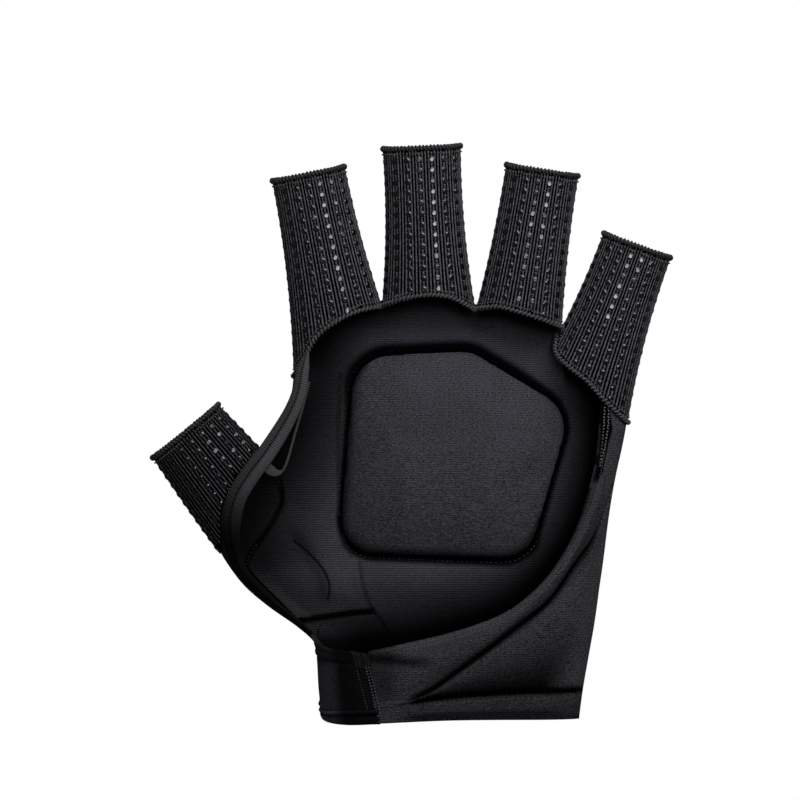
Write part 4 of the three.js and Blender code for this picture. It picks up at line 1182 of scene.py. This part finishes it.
# painted shade and light: the knit's height times the third part of its cloth's place sets how light and
# glossy it is
painted_crest_light = add(tree, "ShaderNodeMath", profile, place.outputs[2], operation="MULTIPLY")
tone = add(tree, "ShaderNodeMath", painted_crest_light, relief, operation="MULTIPLY")
dye = add(tree, "ShaderNodeMapRange", {"Value": tone, "From Min": 0.18, "From Max": 0.6})
dyes = {COLOUR_A: linear("#010101"), COLOUR_B: linear("#5d5d64")}
dyed = add(tree, "ShaderNodeMix", dye, dyes, data_type="RGBA")
gloss_under_painted_light = add(tree, "ShaderNodeMath", dye, 0.4, operation="MULTIPLY")
yarn_finish = {"Base Color": dyed.outputs[MIXED], "Roughness": 0.66, "Specular IOR Level": gloss_under_painted_light}
surface(tree, relief, 0.8, 0.1, yarn_finish)


def node_group(name, sockets):
    """A node group with a geometry input and output and other named inputs."""
    tree = bpy.data.node_groups.new(name, "GeometryNodeTree")
    tree.interface.new_socket("Geometry", in_out="INPUT", socket_type="NodeSocketGeometry")
    for label, kind in sockets:
        tree.interface.new_socket(label, in_out="INPUT", socket_type="NodeSocket" + kind)
    tree.interface.new_socket("Geometry", in_out="OUTPUT", socket_type="NodeSocketGeometry")
    return tree, add(tree, "NodeGroupInput").outputs


def with_nodes(piece, tree, values):
    """Runs a node group on a piece with its named values, and keeps the result as the piece's mesh."""
    modifier = piece.modifiers.new(tree.name, "NODES")
    modifier.node_group = tree
    for item in tree.interface.items_tree:
        if item.item_type == "SOCKET" and item.in_out == "INPUT" and item.name in values:
            modifier[item.identifier] = values[item.name]
    return baked(piece)


ribbed_knit, given = node_group("ribbed_knit", [("Rib Height", "Float"), ("Yarn", "Material")])
spot = add(ribbed_knit, "GeometryNodeInputNamedAttribute", {"Name": "cloth"}, data_type="FLOAT_VECTOR")
spot_parts = add(ribbed_knit, "ShaderNodeSeparateXYZ", spot)
knit_rise = knit_profile(ribbed_knit, spot)
outside = add(ribbed_knit, "ShaderNodeMath", knit_rise, spot_parts.outputs[2], operation="MULTIPLY")
rise = add(ribbed_knit, "ShaderNodeMath", outside, given["Rib Height"], operation="MULTIPLY")
normal = add(ribbed_knit, "GeometryNodeInputNormal")
push = add(ribbed_knit, "ShaderNodeVectorMath", normal, {"Scale": rise}, operation="SCALE")
raised = add(ribbed_knit, "GeometryNodeSetPosition", {"Geometry": given["Geometry"], "Offset": push})
yarned = add(ribbed_knit, "GeometryNodeSetMaterial", {"Geometry": raised, "Material": given["Yarn"]})
add(ribbed_knit, "NodeGroupOutput", yarned)

for name in SLEEVES:
    columns = WALES * POINTS_PER_WALE
    angles = section_angles(name, columns)
    foot = foot_at(name, round_section(angles)[0])
    rows = int(foot.max() / ROW_STEP)
    # the third part of the cloth's place raises the ribs and paints their crests light; on the thumb it is
    # lower, which paints its knit darker as shade
    crest = THUMB_CREST_AND_SHADE if name == "thumb" else 1.0
    share = np.concatenate([np.linspace(0, 1, rows), np.linspace(1, 0, INNER_ROWS)])[:, None]
    inset = np.concatenate([np.full(rows, RIB_HEIGHT), np.full(INNER_ROWS, SLEEVE_WALL)])[:, None]
    outer_side = np.concatenate([np.full(rows, crest), np.zeros(INNER_ROWS)])[:, None]
    down = share * (foot + TIP_OVERLAP) - TIP_OVERLAP
    points = sleeve_point(name, angles[None], down, inset)
    wales_at = np.arange(columns)[None] / POINTS_PER_WALE + MIDDLE_WALE + 0 * down
    cloth = np.dstack([wales_at, down, outer_side + 0 * down])
    faces = tube_faces(*points.shape[:2], True)
    sleeve = closed_piece(name + "_sleeve_knit", points, faces, rib_yarn, cloth)
    with_nodes(sleeve, ribbed_knit, {"Rib Height": RIB_HEIGHT * MM, "Yarn": rib_yarn})
    finished(sleeve, "rib_knit", name + "_sleeve")

# Grip dots
# Clear silicone drops printed on the knit in rows 3.35 mm apart, one in each break of a middle rib. They
# set with flat tops and sloping shoulders, so a row that faces a lamp flashes and the others show only
# bright crescents. Towards the feet they sag with the knit. The side that lies on the table has none.
DOT_RADIUS = 0.92
DOT_HEIGHT = 0.43
DOT_SHOULDER = 0.4
DOT_SAG = 0.13
LOWEST_DOTS = -0.4

# Clear silicone, printed and cured: black shows through it, and its smooth skin is glossy
silicone, tree = new_material("clear_cured_silicone")
in_metres = add(tree, "ShaderNodeTexCoord").outputs["Object"]
cloud = add(tree, "ShaderNodeTexNoise", in_metres, {"Scale": 900.0})
dyes = {COLOUR_A: linear("#020202"), COLOUR_B: linear("#0e0e10")}
dye = add(tree, "ShaderNodeMix", cloud, dyes, data_type="RGBA")
glossy = {"Base Color": dye.outputs[MIXED], "Roughness": 0.15, "IOR": 1.5, "Specular IOR Level": 0.65}
surface(tree, cloud, 0.2, 0.04, glossy)

printed_dots, given = node_group("printed_dots", [
    ("Radius", "Float"), ("Height", "Float"), ("Shoulder", "Float"), ("Seed", "Int"),
    ("Silicone", "Material"),
])
cylinder = {"Vertices": 14, "Side Segments": 3, "Radius": 1.0, "Depth": 3.0}
drop = add(printed_dots, "GeometryNodeMeshCylinder", cylinder)
here = add(printed_dots, "GeometryNodeInputPosition")
here_parts = add(printed_dots, "ShaderNodeSeparateXYZ", here)
height_here = here_parts.outputs[2]
over_shoulder = add(printed_dots, "ShaderNodeMath", height_here, 0.5, operation="SUBTRACT", use_clamp=True)
taken_in = add(printed_dots, "ShaderNodeMath", over_shoulder, given["Shoulder"], operation="MULTIPLY")
reach = add(printed_dots, "ShaderNodeMath", 1.0, taken_in, operation="SUBTRACT")
wide = add(printed_dots, "ShaderNodeMath", reach, given["Radius"], operation="MULTIPLY")
share_up = add(printed_dots, "ShaderNodeMath", height_here, 0.38, 0.43, operation="MULTIPLY_ADD")
tall = add(printed_dots, "ShaderNodeMath", share_up, given["Height"], operation="MULTIPLY")
flat_part = add(printed_dots, "ShaderNodeVectorMath", here, (1.0, 1.0, 0.0), operation="MULTIPLY")
spread = add(printed_dots, "ShaderNodeVectorMath", flat_part, {"Scale": wide}, operation="SCALE")
lift = add(printed_dots, "ShaderNodeCombineXYZ", {"Z": tall})
shaped = add(printed_dots, "ShaderNodeVectorMath", spread, lift, operation="ADD")
dropped = add(printed_dots, "GeometryNodeSetPosition", {"Geometry": drop, "Position": shaped})
up = add(printed_dots, "GeometryNodeInputNamedAttribute", {"Name": "up"}, data_type="FLOAT_VECTOR")
uneven = {"Min": (-0.05,) * 3, "Max": (0.05,) * 3, "Seed": given["Seed"]}
tipped = add(printed_dots, "FunctionNodeRandomValue", uneven, data_type="FLOAT_VECTOR")
about_up = add(printed_dots, "ShaderNodeVectorMath", up, tipped, operation="ADD")
turned = add(printed_dots, "FunctionNodeAlignRotationToVector", {"Vector": about_up}, axis="Z")
sizes = {"Min": (0.92,) * 3, "Max": (1.05,) * 3, "Seed": given["Seed"]}
varied = add(printed_dots, "FunctionNodeRandomValue", sizes, data_type="FLOAT_VECTOR")
placed = add(printed_dots, "GeometryNodeInstanceOnPoints", {
    "Points": given["Geometry"],
    "Instance": dropped,
    "Rotation": turned,
    "Scale": varied,
})
real = add(printed_dots, "GeometryNodeRealizeInstances", placed)
flat_sided = add(printed_dots, "GeometryNodeSetShadeSmooth", real, {"Shade Smooth": False})
cured = add(printed_dots, "GeometryNodeSetMaterial", flat_sided, {"Material": given["Silicone"]})
add(printed_dots, "NodeGroupOutput", cured)


def carrier(name, points, up, edges=()):
    """Bare points, or a line of them, that carry the direction away from the cloth."""
    mesh = bpy.data.meshes.new(name)
    mesh.from_pydata((np.asarray(points) * MM).tolist(), [tuple(map(int, e)) for e in edges], [])
    with_vectors(mesh, "up", up)
    return new_object(name, mesh)


def sleeve_up(name, angles, down):
    """The direction away from a sleeve's knit."""
    around = sleeve_point(name, angles + 0.02, down, 0) - sleeve_point(name, angles - 0.02, down, 0)
    along = sleeve_point(name, angles, down + 0.5, 0) - sleeve_point(name, angles, down - 0.5, 0)
    up = np.cross(around, along)
    return up / np.linalg.norm(up, axis=-1, keepdims=True)


for seed, name in enumerate(SLEEVES):
    angles = section_angles(name, WALES // 4)
    foot = foot_at(name, round_section(angles)[0])
    rows = int(foot.max() / DOT_PITCH) + 1
    down = FIRST_DOT + DOT_PITCH * np.arange(rows)[:, None] + 0 * angles
    angles = angles[None] + 0 * down
    kept_dots = (down < foot[None] - 0.7) & (round_section(angles)[1] > LOWEST_DOTS)
    down, angles = down[kept_dots], angles[kept_dots]
    up = sleeve_up(name, angles, down)
    up[:, 1] -= DOT_SAG * ease((down - 0.3 * foot.min()) / (0.7 * foot.min()))
    dots = carrier(name + "_grip_dots", sleeve_point(name, angles, down, RIB_HEIGHT * 0.6), up)
    with_nodes(dots, printed_dots, {
        "Radius": DOT_RADIUS * MM,
        "Height": DOT_HEIGHT * MM,
        "Shoulder": DOT_SHOULDER,
        "Seed": seed,
        "Silicone": silicone,
    })
    finished(dots, "rib_knit")

# Overlocked edges
# The sleeves' raw ends are bound by an overlock machine: a thick rolled edge round each opening, like a
# twisted cord, and a flatter one along the foot of each finger sleeve. Slanting loops lie side by side
# round a core of folded knit.
ROLL_CENTRE = 1.75
ROLL_EARS = 0.35
ROLL_RADIUS = 0.85
ROLL_THREAD = 0.36
ROLL_FLATNESS = 0.8
CORE_SHARE = 0.75


def thread_finish(name, low, high):
    """Spun polyester thread, with a soft lustre where its twist catches the light."""
    material, tree = new_material(name)
    in_metres = add(tree, "ShaderNodeTexCoord").outputs["Object"]
    fibres = add(tree, "ShaderNodeTexNoise", in_metres, {"Scale": 2500.0, "Detail": 3.0})
    dyes = {COLOUR_A: linear(low), COLOUR_B: linear(high)}
    dye = add(tree, "ShaderNodeMix", fibres, dyes, data_type="RGBA")
    spun = {"Base Color": dye.outputs[MIXED], "Roughness": 0.55, "Specular IOR Level": 0.25}
    surface(tree, fibres, 0.6, 0.05, spun)
    return material


# Black overlock thread, and the same thread where it lies on top and its wear shows grey
thread = thread_finish("spun_polyester_thread", "#0a0a0b", "#38383c")
worn_thread = thread_finish("worn_polyester_thread", "#2a2a2d", "#8c8c92")
roll_thread = thread_finish("textured_polyester_thread", "#0b0a0a", "#474142")
seam_thread = thread_finish("greyed_polyester_thread", "#171718", "#6c6b70")

# the sockets of a Random Value node's range and result as a plain number
RANDOM_LOW, RANDOM_HIGH, RANDOM_NUMBER = 2, 3, 1


def along_seam(tree, given, wobble):
    """A seam's curve, even spots along it, the turn that stands a thing upright, and a random angle."""
    path_curve = add(tree, "GeometryNodeMeshToCurve", given["Geometry"])
    spots = add(tree, "GeometryNodeResampleCurve", path_curve, {"Length": given["Spacing"]}, mode="LENGTH")
    heading = add(tree, "GeometryNodeInputTangent")
    up = add(tree, "GeometryNodeInputNamedAttribute", "up", data_type="FLOAT_VECTOR")
    facing = add(tree, "FunctionNodeAlignRotationToVector", {"Vector": heading}, axis="Z")
    turns = {"Rotation": facing, "Vector": up}
    upright = add(tree, "FunctionNodeAlignRotationToVector", turns, axis="X", pivot_axis="Z")
    spread = {RANDOM_LOW: -wobble, RANDOM_HIGH: wobble, "Seed": given["Seed"]}
    uneven = add(tree, "FunctionNodeRandomValue", spread, data_type="FLOAT")
    return path_curve, spots, upright, uneven.outputs[RANDOM_NUMBER]


def leaned(tree, upright, angle):
    """Leans what stands upright about its own first axis."""
    turn = add(tree, "FunctionNodeAxisAngleToRotation", (1.0, 0.0, 0.0), angle)
    return add(tree, "FunctionNodeRotateRotation", upright, turn, rotation_space="LOCAL")


overlock, given = node_group("overlock_loops", [
    ("Spacing", "Float"), ("Radius", "Float"), ("Thread", "Float"), ("Lean", "Float"), ("Seed", "Int"),
    ("Material", "Material"), ("Core", "Material"),
])
path_curve, spots, upright, wobble = along_seam(overlock, given, 0.18)
ring = add(overlock, "GeometryNodeCurvePrimitiveCircle", {"Resolution": 10, "Radius": given["Radius"]})
strand = add(overlock, "GeometryNodeCurvePrimitiveCircle", {"Resolution": 5, "Radius": given["Thread"]})
loop = add(overlock, "GeometryNodeCurveToMesh", ring, strand)
slant = add(overlock, "ShaderNodeMath", given["Lean"], wobble, operation="ADD")
loops_on = add(overlock, "GeometryNodeInstanceOnPoints", spots, {
    "Instance": loop,
    "Rotation": leaned(overlock, upright, slant),
    "Scale": (ROLL_FLATNESS, 1.0, 1.0),
})
core_radius = add(overlock, "ShaderNodeMath", given["Radius"], CORE_SHARE, operation="MULTIPLY")
core_round = add(overlock, "GeometryNodeCurvePrimitiveCircle", {"Resolution": 8, "Radius": core_radius})
core = add(overlock, "GeometryNodeCurveToMesh", path_curve, core_round, {"Fill Caps": True})
real = add(overlock, "GeometryNodeRealizeInstances", loops_on)
threaded = add(overlock, "GeometryNodeSetMaterial", real, {"Material": given["Material"]})
cored = add(overlock, "GeometryNodeSetMaterial", core, {"Material": given["Core"]})
both = add(overlock, "GeometryNodeJoinGeometry")
overlock.links.new(threaded.outputs[0], both.inputs[0])
overlock.links.new(cored.outputs[0], both.inputs[0])
smoothed = add(overlock, "GeometryNodeSetShadeSmooth", both)
add(overlock, "NodeGroupOutput", smoothed)


def chain_edges(count, closed):
    """Edges that join points in a row."""
    edges = [(i, i + 1) for i in range(count - 1)]
    return edges + [(count - 1, 0)] if closed else edges


def opening_ring(name, beyond, swell, floor, spacing):
    """A closed line round a sleeve's opening, so far beyond its end and outside its knit, and its outward
    directions. Its two sides stand a little further out than its middle."""
    angles = np.linspace(0, 2 * math.pi, 181)[:-1]
    down = -beyond - ROLL_EARS * np.abs(round_section(angles)[0]) ** 5
    points = sleeve_point(name, angles, down, -swell)
    points[:, 2] = np.maximum(points[:, 2], floor)
    ring = evenly(np.hstack([points, sleeve_up(name, angles, 0 * angles)]), spacing, closed=True)
    return ring[:, :3], ring[:, 3:]


for seed, name in enumerate(SLEEVES):
    roll_reach = ROLL_RADIUS + ROLL_THREAD
    points, outwards = opening_ring(name, ROLL_CENTRE, swell=-0.15, floor=roll_reach, spacing=0.7)
    roll = carrier(name + "_tip_overlock", points, outwards, chain_edges(len(points), True))
    with_nodes(roll, overlock, {
        "Spacing": 1.15 * MM,
        "Radius": ROLL_RADIUS * MM,
        "Thread": ROLL_THREAD * MM,
        "Lean": 0.65,
        "Seed": seed,
        "Material": roll_thread,
        "Core": thread,
    })
    finished(roll, "overlock", name + "_tip_roll")

for seed, name in enumerate(FINGERS):
    angles = np.linspace(math.pi * 0.99, math.pi * 0.01, 70)
    foot = foot_at(name, round_section(angles)[0], 0.5)
    points = evenly(sleeve_point(name, angles, foot, -0.15), 0.6)
    seam = carrier(name + "_foot_overlock", points, points * 0 + (0, 0, 1), chain_edges(len(points), False))
    with_nodes(seam, overlock, {
        "Spacing": 1.3 * MM,
        "Radius": 0.7 * MM,
        "Thread": 0.3 * MM,
        "Lean": -0.6,
        "Seed": seed,
        "Material": seam_thread,
        "Core": thread,
    })
    finished(seam, "overlock", name + "_foot_seam")

# Stitching
# Rows of machine stitches in spun thread, made by nodes along lines that lie on the cloth: round the three
# pads, over the heel panel's edge and channels, down the cuff seam, along the binding and on each sleeve.
sewn, given = node_group("machine_stitches", [
    ("Spacing", "Float"), ("Length", "Float"), ("Thread", "Float"), ("Slant", "Float"), ("Seed", "Int"),
    ("Material", "Material"),
])
_, spots, upright, wobble = along_seam(sewn, given, 0.15)
bead = add(sewn, "GeometryNodeMeshUVSphere", {"Segments": 6, "Rings": 4, "Radius": 1.0})
half_length = add(sewn, "ShaderNodeMath", given["Length"], 0.5, operation="MULTIPLY")
stretch = add(sewn, "ShaderNodeCombineXYZ", given["Thread"], given["Thread"], half_length)
stitch = add(sewn, "GeometryNodeTransform", bead, {"Scale": stretch})
number = add(sewn, "GeometryNodeInputIndex")
odd = add(sewn, "ShaderNodeMath", number, 2.0, operation="MODULO")
to_side = add(sewn, "ShaderNodeMath", odd, 2.0, -1.0, operation="MULTIPLY_ADD")
swing = add(sewn, "ShaderNodeMath", to_side, given["Slant"], wobble, operation="MULTIPLY_ADD")
swung = leaned(sewn, upright, swing)
stitches_on = add(sewn, "GeometryNodeInstanceOnPoints", spots, {"Instance": stitch, "Rotation": swung})
real = add(sewn, "GeometryNodeRealizeInstances", stitches_on)
smoothed = add(sewn, "GeometryNodeSetShadeSmooth", real)
threaded = add(sewn, "GeometryNodeSetMaterial", smoothed, {"Material": given["Material"]})
add(sewn, "NodeGroupOutput", threaded)


def on_lining(line, lift):
    """A line in plan laid on the lining, and its directions away from it."""
    x, y = line[:, 0], line[:, 1]
    z = shell_height(x, y, SHELL_WALL - sewn_down(x, y))
    slope = (shell_height(x + 0.3, y, SHELL_WALL) - shell_height(x - 0.3, y, SHELL_WALL)) / 0.6
    up = np.column_stack([-slope, 0 * slope, 1 + 0 * slope])
    return np.column_stack([x, y, z]) + up * lift, up


def on_gusset(line, lift):
    """A line in plan laid on the wrist's palm side, and its directions away from it."""
    q = palm_quarter(line[:, 0], line[:, 1])
    points = hand_point(q, line[:, 1], -lift)
    return points, hand_point(q, line[:, 1], -lift - 1.0) - points


panel_places = [place.co for place in heel_panel.data.vertices]
panel_skin = BVHTree.FromPolygons(panel_places, [face.vertices[:] for face in heel_panel.data.polygons])


def on_panel(line, lift):
    """A line in plan laid on the quilted panel from above, and its directions away from it."""
    hits = [panel_skin.ray_cast(Vector((x, y, 60)) * MM, Vector((0, 0, -1))) for x, y in line]
    hits = [hit for hit in hits if hit[0]]
    up = np.array([hit[1] for hit in hits])
    return np.array([hit[0] for hit in hits]) / MM + up * lift, up


def aside(line, amount):
    """A line in plan moved to its right."""
    along = np.gradient(line, axis=0)
    along /= np.linalg.norm(along, axis=1, keepdims=True)
    return line + np.column_stack([along[:, 1], -along[:, 0]]) * amount


def on_binding(across, start, end):
    """A line on the binding's upper side, at a share of its half width, between two runs along it."""
    band = curve_through(BINDING, BINDING_STEP)[int(start / BINDING_STEP) : int(end / BINDING_STEP)]
    place = aside(band[:, :2], across * band[:, 3:4] / 2)
    points = np.column_stack([place, band[:, 2] + BINDING_THICK / 2 - 0.1])
    return points, points * 0 + (0, 0, 1)


LINE_STEP = 0.5


def stretch_of(line, start=0.0, short=0.0):
    """A smooth curve through a line's points, from so far along it to so far short of its end."""
    curve = curve_through(line, LINE_STEP)
    return curve[int(start / LINE_STEP) : len(curve) - int(short / LINE_STEP)]


pad_seam = evenly(rounded_outline(PALM_PAD, margin=0.9), LINE_STEP, closed=True)
lowest = np.argmin(pad_seam[:, 1])
pad_seam = np.roll(pad_seam, len(pad_seam) // 2 - lowest, axis=0)
by_wrist = pad_seam[pad_seam[:, 1] < -35.0]
palm_side = curve_through(PALM_SIDE_SEAM, 1.0)
thumb_pad_seam = curve_through(THUMB_PAD_SEAM, 1.0)
# the heel pad's stitches lie 1 mm below its seam, and start 4 mm along it
heel_pad_seam = curve_through(HEEL_PAD_SEAM, 1.0)[4:] - (0, 1.0)
heel_edge = stretch_of(PALM_EDGE, 23.0, 4.5)
heel_inner_edge = stretch_of(PALM_EDGE, 23.0, 8.5)
slant_channel = stretch_of(SLANT_CHANNEL, 3.0, 15.0)
low_channel = stretch_of(LOW_CHANNEL, 1.0, 10.0)
cuff_line = stretch_of(((-13.9, -72.4), (-12.4, -78.0), (-10.9, -84.6), (-9.8, -89.0)))
cuff_zigzag = stretch_of(((-16.6, -73.3), (-15.1, -79.2), (-13.6, -84.8)))
band_edge = stretch_of(((60.0, 8.0), (59.8, 5.0), (59.7, 2.5), (59.4, -1.4), (59.0, -5.3), (58.5, -10.0)))
band_middle = stretch_of(((61.2, 8.0), (61.1, 5.0), (61.0, 2.5), (60.4, -1.4), (59.7, -5.3), (58.9, -9.0)))
CROSSWISE = 1.57
STITCH_ROWS = {
    # name: line, spacing, length, thickness, slant, thread
    "palm_pad_wrist_stitches": (on_lining(by_wrist, 0.0), 1.5, 0.7, 0.11, 0.3, seam_thread),
    "palm_pad_stitches": (on_lining(np.vstack([pad_seam, pad_seam[:1]]), -0.1), 1.5, 0.8, 0.14, 0.3, thread),
    "palm_pad_side_ticks": (on_lining(palm_side, 0.1), 0.75, 0.8, 0.1, CROSSWISE, thread),
    "thumb_pad_stitches": (on_lining(thumb_pad_seam, 0.35), 1.3, 0.7, 0.13, 0.0, thread),
    "heel_pad_stitches": (on_lining(heel_pad_seam, 0.2), 1.2, 0.6, 0.13, 0.3, roll_thread),
    "heel_edge_stitches": (on_panel(aside(heel_edge, -0.8), 0.05), 0.8, 0.9, 0.13, 0.8, seam_thread),
    "heel_inner_stitches": (on_panel(aside(heel_inner_edge, -1.9), 0.0), 0.8, 0.8, 0.11, 0.8, seam_thread),
    "slant_channel_ticks": (on_panel(aside(slant_channel, -0.6), 0.0), 1.2, 1.5, 0.1, CROSSWISE, thread),
    "level_channel_ticks": (on_panel(low_channel + (0, -0.9), 0.0), 1.1, 1.3, 0.1, CROSSWISE, thread),
    "band_edge_stitches": (on_panel(band_edge, 0.05), 1.0, 0.85, 0.24, 0.75, worn_thread),
    "band_middle_stitches": (on_panel(band_middle, 0.1), 1.0, 0.85, 0.24, 0.75, worn_thread),
    "cuff_zigzag_stitches": (on_gusset(cuff_zigzag, 0.1), 0.8, 0.7, 0.18, 0.9, roll_thread),
    "cuff_line_stitches": (on_gusset(cuff_line, 0.2), 0.95, 0.55, 0.28, 0.3, seam_thread),
    "cuff_second_line": (on_gusset(aside(cuff_line, -0.9), 0.2), 0.95, 0.55, 0.24, -0.3, seam_thread),
    "binding_stitches": (on_binding(0.2, 4.0, 60.0), 1.5, 0.9, 0.11, 0.25, thread),
}
# the gathers fan out from the first one, each this far from the last
GATHER = np.array([(-18.4, -67.2), (-17.5, -68.6), (-17.1, -70.0), (-17.1, -71.6)])
GATHER_STEP = np.array((0.66, -0.12))
for k in range(7):
    gather = on_gusset(curve_through(GATHER + GATHER_STEP * k, 0.4), 0.1)
    STITCH_ROWS[f"gather_{k}"] = (gather, 0.6, 0.5, 0.14, 0.0, roll_thread)
for name in SLEEVES:
    opening = opening_ring(name, 0.0, swell=0.2, floor=0.5, spacing=LINE_STEP)
    STITCH_ROWS[name + "_opening_stitches"] = (opening, 1.1, 0.6, 0.26, 0.6, seam_thread)
for name in FINGERS:
    angles = np.linspace(math.pi * 0.96, math.pi * 0.04, 70)
    foot = foot_at(name, round_section(angles)[0], -0.95)
    on_sleeve = np.hstack([sleeve_point(name, angles, foot, -0.2), sleeve_up(name, angles, foot)])
    above_foot = np.hsplit(evenly(on_sleeve, LINE_STEP), 2)
    STITCH_ROWS[name + "_foot_stitches"] = (above_foot, 1.05, 0.65, 0.24, 0.6, seam_thread)
for seed, (name, (line, spacing, length, radius, slant, thread_used)) in enumerate(STITCH_ROWS.items()):
    row = carrier(name, *line, chain_edges(len(line[0]), "opening" in name))
    with_nodes(row, sewn, {
        "Spacing": spacing * MM,
        "Length": length * MM,
        "Thread": radius * MM,
        "Slant": slant,
        "Seed": seed,
        "Material": thread_used,
    })
    finished(row, "overlock")
